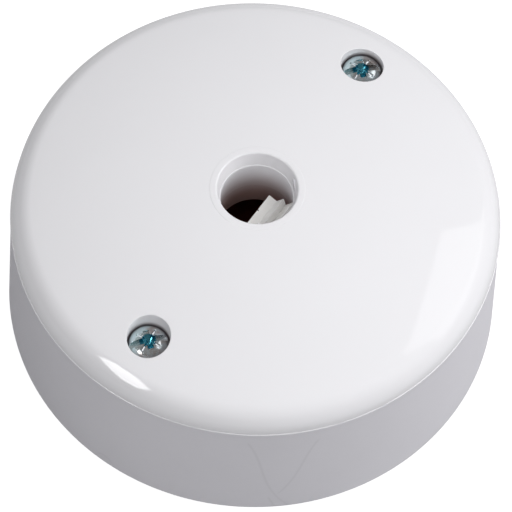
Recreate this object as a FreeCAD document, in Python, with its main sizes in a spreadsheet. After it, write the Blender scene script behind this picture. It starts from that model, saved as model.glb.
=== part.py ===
"""Electrical ceiling rose: a domed cover over a terminal base, with a cord grip.

The back of the rose lies on the plane z = 0 and the domed face looks up (+Z).
The two cover screws stand on the X axis, and the cord grip is on the -Y side.
All sizes are millimetres.
"""
import FreeCAD, Part
import math
import os
import re
import Sketcher

# Driving dimensions, one name for each size that can be set by itself
SIZES = {
    # How far a cutting tool runs past the face that it opens
    "overcut": 1.0,
    # Cover: outside form
    "cover_height": 35.0,
    "face_radius": 39.8,
    "skirt_draft": 0.4,
    "dome_radius": 132.7,
    "edge_radius": 4.6,
    "edge_depth": 3.69,
    "bead_stand": 0.2,
    "bead_height": 0.24,
    "band_stand": 0.07,
    "band_height": 0.6,
    "foot_round": 0.4,
    # Cover: walls
    "skirt_wall": 2.3,
    "dome_wall": 2.5,
    # Cover: cord hole and its sleeve
    "bore_radius": 5.9,
    "bore_land": 1.3,
    "bore_relief": 0.25,
    "mouth_flare": 0.65,
    "mouth_depth": 3.0,
    "mouth_round": 0.25,
    "lip_round": 0.3,
    "collar_width": 1.2,
    "collar_sink": 0.06,
    "sleeve_wall": 1.8,
    "sleeve_depth": 14.7,
    # Cover screws, one at each end of the X axis
    "screw_inset": 9.0,
    "head_radius": 3.4,
    "head_edge": 0.9,
    "head_shoulder_radius": 2.3,
    "head_shoulder": 2.25,
    "head_height": 2.6,
    "head_corner_radius": 2.0,
    "head_crown_radius": 9.0,
    "head_depth": 6.6,
    "head_clearance": 0.12,
    "screw_radius": 1.75,
    "screw_length": 20.0,
    "screw_point": 0.5,
    "screw_slack": 0.2,
    "slot_width": 0.9,
    "slot_depth": 1.2,
    "cross_length": 4.4,
    "cross_depth": 1.7,
    "running_gap": 0.05,
    "boss_wall": 1.5,
    "boss_length": 4.4,
    # Retaining ring that keeps each cover screw in the cover
    "ring_radius": 3.0,
    "ring_height": 0.8,
    "ring_rest": 0.3,
    "ring_clearance": 0.25,
    # Base
    "base_clearance": 1.3,
    "base_plate": 4.0,
    "base_rim_height": 7.5,
    "base_rim_wall": 1.8,
    "entry_radius": 10.0,
    "entry_lip": 2.0,
    "entry_lip_wall": 1.6,
    "fixing_offset": 25.4,
    "fixing_slot_length": 9.0,
    "fixing_slot_width": 4.6,
    "pillar_wall": 1.5,
    "insert_radius": 2.75,
    "insert_length": 7.5,
    "insert_groove": 0.35,
    "insert_groove_length": 1.5,
    "insert_under_tip": 0.4,
    "tip_room": 1.0,
    # Terminals: a brass block in a moulded carrier, a screw over each wire hole
    "terminal_inset": 14.1,
    "terminal_pitch": 6.0,
    "terminal_end": 3.2,
    "block_width": 7.0,
    "block_height": 8.5,
    "block_chamfer": 0.4,
    "wire_hole_radius": 1.8,
    "wire_hole_height": 3.2,
    "carrier_height": 3.0,
    "carrier_wall": 1.4,
    "carrier_side": 4.5,
    "carrier_gap": 0.1,
    "clamp_thread_radius": 1.45,
    "clamp_tip_gap": 0.8,
    "clamp_point": 0.4,
    "clamp_head_radius": 2.4,
    "clamp_head_height": 1.8,
    "clamp_head_lift": 0.5,
    "clamp_slot_width": 0.8,
    "clamp_slot_depth": 1.0,
    # Cord grip: a toothed jaw that slides in an oblique channel of the cover
    "grip_slope": 50.0,
    "jaw_lead": 0.25,
    "jaw_depth": 7.0,
    "jaw_width": 6.8,
    "jaw_length": 8.0,
    "jaw_land": 1.5,
    "jaw_land_drop": 0.5,
    "tooth_run": 1.3,
    "tooth_rise": 2.1,
    "tooth_back": 0.5,
    "tooth_fall": 1.5,
    "jaw_mark": 0.5,
    "channel_gap": 0.1,
    "channel_wall": 1.6,
    "channel_rise": 4.0,
    "jaw_retreat": 2.5,
    "jaw_advance": 3.0,
    "nut_side": 5.4,
    "nut_height": 2.4,
    "nut_floor": 1.2,
    "nut_gap": 0.1,
    "grip_screw_radius": 1.45,
    "grip_head_radius": 2.7,
    "grip_head_height": 2.0,
    "grip_neck_radius": 1.0,
    "grip_neck_length": 1.0,
    "grip_button_radius": 1.5,
    "grip_button_length": 1.0,
    "grip_play": 0.05,
    "grip_travel_gap": 0.3,
}

# Worked-out levels and places, each written once and used by all that meet there
FOOT_RADIUS = "(face_radius + skirt_draft)"
MOUTH_RADIUS = "(bore_radius + mouth_flare)"
COLLAR_RADIUS = "(bore_radius + mouth_flare + collar_width)"
SCREW_OFFSET = "(face_radius - screw_inset)"
FACE_CORNER = "(cover_height - dome_radius + sqrt(dome_radius^2 - face_radius^2))"
SEAM = "(%s - edge_depth)" % FACE_CORNER
EDGE_REACH = "tan((90 deg - asin(face_radius / dome_radius)) / 2)"
COLLAR_TOP = "(cover_height - collar_sink)"
LIP = "(cover_height - collar_sink - mouth_depth)"
LAND_FOOT = "(cover_height - collar_sink - mouth_depth - bore_land)"
SLEEVE_FOOT = "(cover_height - sleeve_depth)"
HEAD_SEAT = "(cover_height - head_depth)"
BOSS_FOOT = "(cover_height - head_depth - boss_length)"
BOSS_RADIUS = "(head_radius + head_clearance + boss_wall)"
INSERT_FLOOR = "(cover_height - head_depth - screw_length - insert_under_tip)"
INSERT_TOP = "(%s + insert_length)" % INSERT_FLOOR
RING_SEAT = "(%s + ring_rest)" % INSERT_TOP
RING_WELL = "(ring_radius + ring_clearance)"
BASE_RADIUS = "(face_radius + skirt_draft - skirt_wall - base_clearance)"
TERMINAL_OFFSET = "(face_radius + skirt_draft - skirt_wall - base_clearance - terminal_inset)"
BLOCK_SEAT = "(base_plate + carrier_height)"
BLOCK_TOP = "(base_plate + carrier_height + block_height)"

doc = FreeCAD.newDocument("ceiling_rose")
sheet = doc.addObject("Spreadsheet::Sheet", "Sizes")
for row, (alias, size) in enumerate(SIZES.items(), start=1):
    sheet.set("A%d" % row, alias)
    sheet.set("B%d" % row, str(size))
    sheet.setAlias("B%d" % row, alias)
doc.recompute()


def cells(text):
    """The expression with each size name pointed at its cell of the sheet."""
    return re.sub(r"[a-z_]+", lambda word: "Sizes." + word[0] if word[0] in SIZES else word[0], text)


def value(text):
    """The present value of an expression of sizes."""
    return float(sheet.evalExpression(cells(text)))


def bind(thing, expressions):
    """Tie properties of a document object to expressions of sizes."""
    for path, text in expressions.items():
        thing.setExpression(path, cells(text))


def place(thing, x="0", y="0", z="0", turn=None, axis=(0, 0, 1)):
    """Put an object at x, y, z, turned by an angle in degrees about an axis."""
    if turn is not None:
        thing.Placement = FreeCAD.Placement(
            FreeCAD.Vector(), FreeCAD.Rotation(FreeCAD.Vector(*axis), value(turn)))
        bind(thing, {"Placement.Rotation.Angle": "(%s) * 1 deg" % turn})
    bind(thing, {"Placement.Base.x": x, "Placement.Base.y": y, "Placement.Base.z": z})


def new_body(label):
    """An empty PartDesign body whose label names the piece."""
    body = doc.addObject("PartDesign::Body", label)
    body.Label = label
    return body


def sketch_on(body, role, name):
    """A sketch on one of the body's own origin planes."""
    sketch = body.newObject("Sketcher::SketchObject", name)
    plane = [item for item in body.Origin.OriginFeatures if item.Role == role][0]
    sketch.AttachmentSupport = [(plane, "")]
    sketch.MapMode = "FlatFace"
    return sketch


def draw_outline(sketch, corners):
    """A closed outline, counter-clockwise, through corners given as size expressions.

    A corner with a third entry starts a convex arc of that radius.
    """
    count = len(corners)
    spots = [FreeCAD.Vector(value(corner[0]), value(corner[1]), 0) for corner in corners]
    for index, corner in enumerate(corners):
        start = spots[index]
        end = spots[(index + 1) % count]
        if len(corner) == 2:
            sketch.addGeometry(Part.LineSegment(start, end))
            continue
        radius = value(corner[2])
        chord = end - start
        inward = FreeCAD.Vector(-chord.y, chord.x, 0).normalize()
        centre = (start + end) * 0.5 + inward * math.sqrt(radius ** 2 - chord.Length ** 2 / 4)
        first = math.atan2(start.y - centre.y, start.x - centre.x)
        last = math.atan2(end.y - centre.y, end.x - centre.x)
        circle = Part.Circle(centre, FreeCAD.Vector(0, 0, 1), radius)
        sketch.addGeometry(Part.ArcOfCircle(circle, first, last))
        rule = sketch.addConstraint(Sketcher.Constraint("Radius", index, radius))
        sketch.renameConstraint(rule, "arc_%d" % index)
        sketch.setExpression("Constraints.arc_%d" % index, cells(corner[2]))
    for index, corner in enumerate(corners):
        before = (index - 1) % count
        sketch.addConstraint(Sketcher.Constraint("Coincident", before, 2, index, 1))
        fix_coordinate(sketch, index, "DistanceX", "across_%d" % index, corner[0], -2)
        fix_coordinate(sketch, index, "DistanceY", "up_%d" % index, corner[1], -1)


def fix_coordinate(sketch, index, kind, name, text, axis):
    """Fix one coordinate of a corner: on the axis, or at an expression of sizes."""
    if text == "0":
        sketch.addConstraint(Sketcher.Constraint("PointOnObject", index, 1, axis))
        return
    rule = sketch.addConstraint(Sketcher.Constraint(kind, -1, 1, index, 1, value(text)))
    sketch.renameConstraint(rule, name)
    sketch.setExpression("Constraints." + name, cells(text))


def turned(body, name, corners):
    """A solid of revolution about Z from an outline of radius and height."""
    sketch = sketch_on(body, "XZ_Plane", name + "_outline")
    draw_outline(sketch, corners)
    solid = body.newObject("PartDesign::Revolution", name)
    solid.Profile = sketch
    solid.ReferenceAxis = (sketch, ["V_Axis"])
    solid.Angle = 360
    body.Tip = solid
    return solid


def extruded(body, name, corners, width):
    """A solid drawn in the YZ plane and given an even width across X."""
    sketch = sketch_on(body, "YZ_Plane", name + "_outline")
    draw_outline(sketch, corners)
    solid = body.newObject("PartDesign::Pad", name)
    solid.Profile = sketch
    solid.SideType = "Symmetric"
    bind(solid, {"Length": width})
    body.Tip = solid
    return solid


def cylinder(body, kind, name, radius, height, **where):
    """A cylinder added to or taken from a body; kind is Additive or Subtractive."""
    feature = body.newObject("PartDesign::%sCylinder" % kind, name)
    bind(feature, {"Radius": radius, "Height": height})
    place(feature, **where)
    body.Tip = feature
    return feature


def brick(body, kind, name, length, width, height, **where):
    """A box added to or taken from a body; kind is Additive or Subtractive."""
    feature = body.newObject("PartDesign::%sBox" % kind, name)
    bind(feature, {"Length": length, "Width": width, "Height": height})
    place(feature, **where)
    body.Tip = feature
    return feature


def part_cylinder(name, radius, height, **where):
    """A cylinder that a later boolean uses."""
    solid = doc.addObject("Part::Cylinder", name)
    bind(solid, {"Radius": radius, "Height": height})
    place(solid, **where)
    return solid


def part_box(name, length, width, height, **where):
    """A box that a later boolean uses."""
    solid = doc.addObject("Part::Box", name)
    bind(solid, {"Length": length, "Width": width, "Height": height})
    place(solid, **where)
    return solid


def fused(name, pieces):
    """Several solids as one."""
    solid = doc.addObject("Part::MultiFuse", name)
    solid.Shapes = pieces
    solid.Refine = True
    return solid


def cut(name, base, tool):
    """One solid less another."""
    solid = doc.addObject("Part::Cut", name)
    solid.Base = base
    solid.Tool = tool
    solid.Refine = True
    return solid


def circle_edges(shape, radius, level):
    """Numbers of the shape's circular edges about Z with this radius and height."""
    found = []
    for number, edge in enumerate(shape.Edges, start=1):
        if edge.Degenerated or not isinstance(edge.Curve, Part.Circle):
            continue
        on_axis = math.hypot(edge.Curve.Center.x, edge.Curve.Center.y) < 1e-4
        if on_axis and abs(edge.Curve.Radius - radius) < 1e-3 and abs(edge.Curve.Center.z - level) < 1e-3:
            found.append(number)
    return found


def rounded_body_edge(body, name, radius_text, radius, level):
    """Round the circular edge of a turned body at a radius and height."""
    doc.recompute()
    base = body.Tip
    numbers = circle_edges(base.Shape, value(radius), value(level))
    feature = body.newObject("PartDesign::Fillet", name)
    feature.Base = (base, ["Edge%d" % number for number in numbers])
    bind(feature, {"Radius": radius_text})
    body.Tip = feature
    return feature


def make_cover():
    """The moulded cover: dome, skirt, screw bosses, cord sleeve and grip channel."""
    outside = new_body("cover_outside")
    bead_foot = "(%s - bead_height)" % SEAM
    band_foot = "(%s - band_height)" % bead_foot
    turned(outside, "outside", [
        ("0", "0"),
        (FOOT_RADIUS + " - foot_round", "0", "foot_round"),
        (FOOT_RADIUS, "foot_round"),
        ("face_radius", band_foot),
        ("face_radius + band_stand", band_foot),
        ("face_radius + band_stand", bead_foot),
        ("face_radius + bead_stand", bead_foot),
        ("face_radius + bead_stand", SEAM),
        ("face_radius", SEAM),
        ("face_radius", FACE_CORNER, "dome_radius"),
        ("0", "cover_height"),
    ])
    edge_limit = "min(edge_radius; edge_depth / %s)" % EDGE_REACH
    rounded_body_edge(outside, "outside_edge", edge_limit, "face_radius", FACE_CORNER)

    hollow = new_body("cover_hollow")
    inner_radius = "(face_radius - skirt_wall)"
    inner_dome = "(dome_radius - dome_wall)"
    inner_corner = "(cover_height - dome_radius + sqrt(%s^2 - %s^2))" % (inner_dome, inner_radius)
    turned(hollow, "hollow", [
        ("0", "0"),
        (FOOT_RADIUS + " - skirt_wall", "0"),
        (inner_radius, SEAM),
        (inner_radius, inner_corner, inner_dome),
        ("0", "cover_height - dome_wall"),
    ])
    rounded_body_edge(hollow, "hollow_edge", edge_limit + " / 2", inner_radius, inner_corner)

    bosses = []
    for side, sign in (("right", "1"), ("left", "-1")):
        bosses.append(part_cylinder(
            "boss_" + side, BOSS_RADIUS, "cover_height - " + BOSS_FOOT,
            x=sign + " * " + SCREW_OFFSET, z=BOSS_FOOT))
    sleeve = part_cylinder("sleeve", "bore_radius + sleeve_wall", "sleeve_depth", z=SLEEVE_FOOT)
    channel = make_channel_block()
    mouldings = fused("cover_mouldings", bosses + [sleeve, channel])
    room = cut("cover_room", hollow, mouldings)
    collar = part_cylinder("collar", COLLAR_RADIUS, "dome_wall - collar_sink", z="cover_height - dome_wall")
    shell = cut("cover_shell", fused("cover_blank", [outside, collar]), room)

    mouth = doc.addObject("Part::Cone", "mouth")
    bind(mouth, {"Radius1": "bore_radius", "Radius2": MOUTH_RADIUS, "Height": "mouth_depth"})
    place(mouth, z=LIP)
    above = part_cylinder("above_mouth", MOUTH_RADIUS, "collar_sink + overcut", z=COLLAR_TOP)
    land = part_cylinder("bore_land", "bore_radius", "bore_land", z=LAND_FOOT)
    bore = part_cylinder(
        "sleeve_bore", "bore_radius + bore_relief", "%s - %s + 2 * overcut" % (LAND_FOOT, SLEEVE_FOOT),
        z=SLEEVE_FOOT + " - 2 * overcut")
    holes = [mouth, above, land, bore, make_channel_room()]
    for side, sign in (("right", "1"), ("left", "-1")):
        x = sign + " * " + SCREW_OFFSET
        holes.append(part_cylinder(
            "recess_" + side, "head_radius + head_clearance", "head_depth", x=x, z=HEAD_SEAT))
        holes.append(part_cylinder(
            "screw_hole_" + side, "screw_radius + screw_slack", "cover_height", x=x, z=INSERT_FLOOR))
    drilled = cut("cover_drilled", shell, fused("cover_holes", holes))
    doc.recompute()
    cover = doc.addObject("Part::Fillet", "cover")
    cover.Base = drilled
    cover.Edges = [
        (edge, value(size), value(size))
        for size, radius, level in (
            ("mouth_round", MOUTH_RADIUS, COLLAR_TOP),
            ("lip_round", "bore_radius", LIP))
        for edge in circle_edges(drilled.Shape, value(radius), value(level))]
    cover.Label = "cover"
    return cover


def along_grip(start_y, start_z, down, across):
    """A point of the grip in the YZ plane: down the channel and across it."""
    y = "(%s - (%s) * cos(grip_slope * 1 deg) - (%s) * sin(grip_slope * 1 deg))" % (start_y, down, across)
    z = "(%s - (%s) * sin(grip_slope * 1 deg) + (%s) * cos(grip_slope * 1 deg))" % (start_z, down, across)
    return y, z


JAW_Y = "(0 - jaw_lead)"
JAW_Z = "(cover_height - jaw_depth)"
# Run of the toothed face from the leading edge to the last tip, out and up
TEETH_OUT = "(jaw_land + 2 * tooth_run + tooth_back)"
TEETH_UP = "(2 * tooth_rise - jaw_land_drop - tooth_fall)"
JAW_THICK = "(%s * sin(grip_slope * 1 deg) + %s * cos(grip_slope * 1 deg))" % (TEETH_OUT, TEETH_UP)
CHANNEL_FLOOR = "(jaw_length + jaw_retreat + grip_travel_gap)"
CHANNEL_END = "(%s + nut_floor + nut_height + 2 * nut_gap + channel_wall)" % CHANNEL_FLOOR


def grip_point(down, across):
    """A point measured from the jaw's leading edge in its drawn position."""
    return along_grip(JAW_Y, JAW_Z, down, across)


def grip_outline(top, bottom, near, far):
    """A rectangle in the grip's slanted frame, counter-clockwise seen along -X."""
    return [
        grip_point(bottom, far),
        grip_point(bottom, near),
        grip_point(top, near),
        grip_point(top, far),
    ]


def make_channel_block():
    """The outside of the oblique channel that guides the jaw."""
    block = new_body("channel_block")
    side = "(channel_gap + channel_wall)"
    extruded(block, "channel_walls", grip_outline(
        "0", CHANNEL_END, "0 - " + side, "%s + %s" % (JAW_THICK, side)),
        "jaw_width + 2 * " + side)
    return block


def make_channel_room():
    """The space inside the channel: the jaw's way, the nut's pocket and the screw hole."""
    way = new_body("channel_way")
    extruded(way, "jaw_way", grip_outline(
        "0 - channel_rise", CHANNEL_FLOOR, "0 - channel_gap", JAW_THICK + " + channel_gap"),
        "jaw_width + 2 * channel_gap")
    pocket = new_body("nut_pocket")
    middle = "(%s / 2)" % JAW_THICK
    half = "(nut_side / 2 + nut_gap)"
    outer = "(%s + channel_gap + channel_wall + overcut)" % JAW_THICK
    extruded(pocket, "nut_way", grip_outline(
        CHANNEL_FLOOR + " + nut_floor", CHANNEL_FLOOR + " + nut_floor + nut_height + 2 * nut_gap",
        "%s - %s" % (middle, half), outer),
        "2 * " + half)
    hole_y, hole_z = grip_point(CHANNEL_END + " + channel_wall", middle)
    hole = part_cylinder(
        "grip_screw_hole", "grip_screw_radius + screw_slack", CHANNEL_END,
        y=hole_y, z=hole_z, turn="grip_slope - 90", axis=(1, 0, 0))
    return fused("channel_room", [way, pocket, hole])


def make_jaw():
    """The toothed jaw, with a slot at its foot that holds the screw's button."""
    jaw = new_body("cord_jaw")
    corners = [("0", "0"), ("jaw_land", "0 - jaw_land_drop")]
    out = "jaw_land"
    rise = "(0 - jaw_land_drop)"
    for tooth in range(2):
        out = "(%s + tooth_run)" % out
        rise = "(%s + tooth_rise)" % rise
        corners.append((out, rise))
        if tooth == 0:
            out = "(%s + tooth_back)" % out
            rise = "(%s - tooth_fall)" % rise
            corners.append((out, rise))
    teeth = [("%s - %s" % (JAW_Y, reach), "%s + %s" % (JAW_Z, lift)) for reach, lift in corners]
    extruded(jaw, "jaw_section", [
        grip_point("jaw_length", JAW_THICK),
        grip_point("jaw_length", "0"),
    ] + teeth, "jaw_width")
    middle = "(%s / 2)" % JAW_THICK
    for name, radius, top, length in (
            ("neck_slot", "grip_neck_radius", "grip_neck_length", "grip_neck_length + grip_play"),
            ("button_slot", "grip_button_radius", "grip_neck_length + grip_play + grip_button_length",
             "grip_button_length + 2 * grip_play")):
        half = "(%s + grip_play)" % radius
        sketch_corners = grip_outline(
            "jaw_length - (%s) - grip_play" % top, "jaw_length - (%s) - grip_play + (%s)" % (top, length),
            "%s - %s" % (middle, half), "%s + channel_wall" % JAW_THICK)
        sketch = sketch_on(jaw, "YZ_Plane", name + "_outline")
        draw_outline(sketch, sketch_corners)
        slot = jaw.newObject("PartDesign::Pocket", name)
        slot.Profile = sketch
        slot.SideType = "Symmetric"
        bind(slot, {"Length": "2 * " + half})
        jaw.Tip = slot
    brick(jaw, "Subtractive", "centre_mark", "jaw_mark", "jaw_mark", "jaw_length + 2 * overcut",
          x="0 - jaw_mark / 2", y=JAW_Y + " - jaw_mark / 2", z=JAW_Z + " - jaw_length - overcut")
    return jaw


def make_grip_screw():
    """The slotted screw that drives the jaw, its button held in the jaw's slot."""
    screw = new_body("grip_screw")
    button = "(grip_neck_length + grip_play + grip_button_length)"
    seat = "(%s + jaw_advance + grip_travel_gap - jaw_length)" % CHANNEL_END
    head = "(0 - %s)" % seat
    turned(screw, "grip_screw_form", [
        ("0", head + " - grip_head_height"),
        ("grip_head_radius", head + " - grip_head_height"),
        ("grip_head_radius", head),
        ("grip_screw_radius", head),
        ("grip_screw_radius", "0 - grip_play"),
        ("grip_neck_radius", "0 - grip_play"),
        ("grip_neck_radius", "grip_neck_length + grip_play"),
        ("grip_button_radius", "grip_neck_length + grip_play"),
        ("grip_button_radius", button),
        ("0", button),
    ])
    brick(screw, "Subtractive", "grip_screw_slot", "2 * (grip_head_radius + overcut)", "clamp_slot_width",
          "clamp_slot_depth", x="0 - grip_head_radius - overcut", y="0 - clamp_slot_width / 2",
          z=head + " - grip_head_height")
    y, z = grip_point("jaw_length", "(%s / 2)" % JAW_THICK)
    place(screw, y=y, z=z, turn="grip_slope - 90", axis=(1, 0, 0))
    return screw


def make_grip_nut():
    """The square nut in the channel's pocket."""
    nut = new_body("grip_nut")
    brick(nut, "Additive", "nut_plate", "nut_side", "nut_side", "nut_height",
          x="0 - nut_side / 2", y="0 - nut_side / 2")
    cylinder(nut, "Subtractive", "nut_hole", "grip_screw_radius + running_gap", "nut_height + 2 * overcut",
             z="0 - overcut")
    y, z = grip_point(CHANNEL_FLOOR + " + nut_floor + nut_gap + nut_height", "(%s / 2)" % JAW_THICK)
    place(nut, y=y, z=z, turn="grip_slope - 90", axis=(1, 0, 0))
    return nut


def make_cover_screw(side, sign):
    """A pan-head screw with a cross recess and a slot, seated in the cover."""
    screw = new_body("cover_screw_" + side)
    turned(screw, "screw_form", [
        ("0", "0 - screw_length"),
        ("screw_radius - screw_point", "0 - screw_length"),
        ("screw_radius", "0 - screw_length + screw_point"),
        ("screw_radius", "0"),
        ("head_radius", "0"),
        ("head_radius", "head_edge", "head_corner_radius"),
        ("head_shoulder_radius", "head_shoulder", "head_crown_radius"),
        ("0", "head_height"),
    ])
    brick(screw, "Subtractive", "slot", "2 * (head_radius + overcut)", "slot_width", "head_height",
          x="0 - head_radius - overcut", y="0 - slot_width / 2", z="head_height - slot_depth")
    for name, length, width in (("cross_long", "cross_length", "slot_width"),
                                ("cross_wide", "slot_width", "cross_length")):
        brick(screw, "Subtractive", name, length, width, "head_height",
              x="0 - %s / 2" % length, y="0 - %s / 2" % width, z="head_height - cross_depth")
    place(screw, x=sign + " * " + SCREW_OFFSET, z=HEAD_SEAT)
    return screw


def make_ring(side, sign):
    """The ring on the cover screw's shank."""
    ring = new_body("screw_ring_" + side)
    turned(ring, "ring_form", [
        ("screw_radius + running_gap", "0"),
        ("ring_radius", "0"),
        ("ring_radius", "ring_height"),
        ("screw_radius + running_gap", "ring_height"),
    ])
    place(ring, x=sign + " * " + SCREW_OFFSET, z=RING_SEAT)
    return ring


def make_insert(side, sign):
    """The threaded brass insert that takes the cover screw, grooved to hold in the pillar."""
    insert = new_body("screw_insert_" + side)
    middle = "(insert_length / 2)"
    turned(insert, "insert_form", [
        ("screw_radius + running_gap", "0"),
        ("insert_radius", "0"),
        ("insert_radius", middle + " - insert_groove_length / 2"),
        ("insert_radius - insert_groove", middle + " - insert_groove_length / 2"),
        ("insert_radius - insert_groove", middle + " + insert_groove_length / 2"),
        ("insert_radius", middle + " + insert_groove_length / 2"),
        ("insert_radius", "insert_length"),
        ("screw_radius + running_gap", "insert_length"),
    ])
    place(insert, x=sign + " * " + SCREW_OFFSET, z=INSERT_FLOOR)
    return insert


# Terminals: name, number of wires and direction from the centre in degrees
TERMINALS = (
    ("loop", 3, 45),
    ("neutral", 3, 135),
    ("earth", 2, 225),
    ("line", 2, 315),
)


def block_length(ways):
    """The length of a terminal block with this many wire holes."""
    return "((%d - 1) * terminal_pitch + 2 * terminal_end)" % ways


def turned_to(direction, along, outward):
    """A point beside a terminal block's middle, in the base's own axes."""
    angle = "%d * 1 deg" % direction
    x = "((%s + %s) * cos(%s) - (%s) * sin(%s))" % (TERMINAL_OFFSET, outward, angle, along, angle)
    y = "((%s + %s) * sin(%s) + (%s) * cos(%s))" % (TERMINAL_OFFSET, outward, angle, along, angle)
    return x, y


def terminal_brick(make, name, length, width, height, direction, z, shift="0"):
    """A box whose length runs round the base, centred at a terminal's place."""
    x, y = turned_to(direction, "0 - (%s) / 2 + (%s)" % (length, shift), "(%s) / 2" % width)
    return make(name, length, width, height, x=x, y=y, z=z, turn="%d + 90" % direction)


def make_base():
    """The moulded base: plate, rim, pillars, terminal carriers and holes."""
    plate = new_body("base_plate_form")
    turned(plate, "plate_form", [
        ("entry_radius", "0"),
        (BASE_RADIUS, "0"),
        (BASE_RADIUS, "base_rim_height"),
        (BASE_RADIUS + " - base_rim_wall", "base_rim_height"),
        (BASE_RADIUS + " - base_rim_wall", "base_plate"),
        ("entry_radius + entry_lip_wall", "base_plate"),
        ("entry_radius + entry_lip_wall", "base_plate + entry_lip"),
        ("entry_radius", "base_plate + entry_lip"),
    ])
    solids = [plate]
    holes = []
    for side, sign in (("right", "1"), ("left", "-1")):
        x = sign + " * " + SCREW_OFFSET
        solids.append(part_cylinder("pillar_" + side, RING_WELL + " + pillar_wall", BOSS_FOOT, x=x))
        holes.append(part_cylinder(
            "insert_hole_" + side, "insert_radius", "insert_length", x=x, z=INSERT_FLOOR))
        holes.append(part_cylinder(
            "ring_well_" + side, RING_WELL, "%s - %s + overcut" % (BOSS_FOOT, INSERT_TOP), x=x, z=INSERT_TOP))
        holes.append(part_cylinder(
            "tip_hole_" + side, "screw_radius + screw_slack", "tip_room + overcut", x=x,
            z=INSERT_FLOOR + " - tip_room"))
    for name, ways, direction in TERMINALS:
        length = block_length(ways)
        outer_length = "(%s + 2 * carrier_gap + 2 * carrier_wall)" % length
        outer_width = "(block_width + 2 * carrier_gap + 2 * carrier_wall)"
        solids.append(terminal_brick(
            part_box, "carrier_" + name, outer_length, outer_width, "carrier_height + carrier_side",
            direction, "base_plate"))
        holes.append(terminal_brick(
            part_box, "carrier_room_" + name, length + " + 2 * carrier_gap", "block_width + 2 * carrier_gap",
            "carrier_side + overcut", direction, BLOCK_SEAT))
        for way in range(ways):
            shift = "(%d - (%d - 1) / 2) * terminal_pitch" % (way, ways)
            holes.append(terminal_brick(
                part_box, "wire_gap_%s_%d" % (name, way + 1), "2 * wire_hole_radius + 2 * carrier_gap",
                outer_width + " + 2 * overcut", "carrier_side + overcut", direction,
                BLOCK_SEAT + " + carrier_gap", shift))
    for name, sign in (("front", "-1"), ("back", "1")):
        half_run = "(fixing_slot_length - fixing_slot_width) / 2"
        holes.append(part_box(
            "slot_%s_middle" % name, "fixing_slot_width", "fixing_slot_length - fixing_slot_width",
            "base_plate + 2 * overcut", x="0 - fixing_slot_width / 2",
            y="%s * fixing_offset - %s" % (sign, half_run), z="0 - overcut"))
        for end, step in (("inner", "-1"), ("outer", "1")):
            holes.append(part_cylinder(
                "slot_%s_%s" % (name, end), "fixing_slot_width / 2", "base_plate + 2 * overcut",
                y="%s * fixing_offset + %s * %s" % (sign, step, half_run), z="0 - overcut"))
    base = cut("base", fused("base_solid", solids), fused("base_holes", holes))
    base.Label = "base"
    return base


def make_terminal(name, ways, direction):
    """A brass terminal block and its clamping screws."""
    length = block_length(ways)
    block = new_body(name + "_block")
    brick(block, "Additive", "block_form", length, "block_width", "block_height",
          x="0 - %s / 2" % length, y="0 - block_width / 2")
    doc.recompute()
    form = block.Tip
    heights = [face.CenterOfMass.z for face in form.Shape.Faces]
    chamfer = block.newObject("PartDesign::Chamfer", "top_chamfer")
    chamfer.Base = (form, ["Face%d" % (heights.index(max(heights)) + 1)])
    bind(chamfer, {"Size": "block_chamfer"})
    block.Tip = chamfer
    pieces = [block]
    for way in range(ways):
        shift = "((%d - (%d - 1) / 2) * terminal_pitch)" % (way, ways)
        cylinder(block, "Subtractive", "wire_hole_%d" % (way + 1), "wire_hole_radius",
                 "block_width + 2 * overcut", x=shift, y="block_width / 2 + overcut",
                 z="wire_hole_height", turn="90", axis=(1, 0, 0))
        cylinder(block, "Subtractive", "thread_%d" % (way + 1), "clamp_thread_radius + running_gap",
                 "block_height", x=shift, z="wire_hole_height")
        pieces.append(make_terminal_screw("%s_screw_%d" % (name, way + 1), shift, direction))
    x, y = turned_to(direction, "0", "0")
    place(block, x=x, y=y, z=BLOCK_SEAT, turn="%d - 90" % direction)
    return pieces


def make_terminal_screw(label, shift, direction):
    """A slotted cheese-head screw that comes down on the wire."""
    screw = new_body(label)
    tip = "(0 - clamp_head_lift - block_height + wire_hole_height - wire_hole_radius + clamp_tip_gap)"
    turned(screw, "clamp_form", [
        ("0", tip),
        ("clamp_thread_radius - clamp_point", tip),
        ("clamp_thread_radius", tip + " + clamp_point"),
        ("clamp_thread_radius", "0"),
        ("clamp_head_radius", "0"),
        ("clamp_head_radius", "clamp_head_height"),
        ("0", "clamp_head_height"),
    ])
    brick(screw, "Subtractive", "clamp_slot", "2 * (clamp_head_radius + overcut)", "clamp_slot_width",
          "clamp_head_height", x="0 - clamp_head_radius - overcut", y="0 - clamp_slot_width / 2",
          z="clamp_head_height - clamp_slot_depth")
    x, y = turned_to(direction, "0 - " + shift, "0")
    place(screw, x=x, y=y, z=BLOCK_TOP + " + clamp_head_lift", turn="%d - 90" % direction)
    return screw


def make_all():
    """Every piece of the rose."""
    pieces = [make_cover(), make_base(), make_jaw(), make_grip_screw(), make_grip_nut()]
    for side, sign in (("right", "1"), ("left", "-1")):
        pieces += [make_cover_screw(side, sign), make_ring(side, sign), make_insert(side, sign)]
    for name, ways, direction in TERMINALS:
        pieces += make_terminal(name, ways, direction)
    doc.recompute()
    return pieces


def check(pieces):
    """Stop if any object failed, or a piece is not one valid solid."""
    for thing in doc.Objects:
        if "Invalid" in thing.State or "Error" in thing.State:
            raise RuntimeError("%s: %s" % (thing.Name, thing.State))
    for piece in pieces:
        if piece.Shape.isNull() or not piece.Shape.isValid():
            raise RuntimeError(piece.Label + " has no valid shape")
        if len(piece.Shape.Solids) != 1:
            raise RuntimeError("%s has %d solids" % (piece.Label, len(piece.Shape.Solids)))


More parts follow.
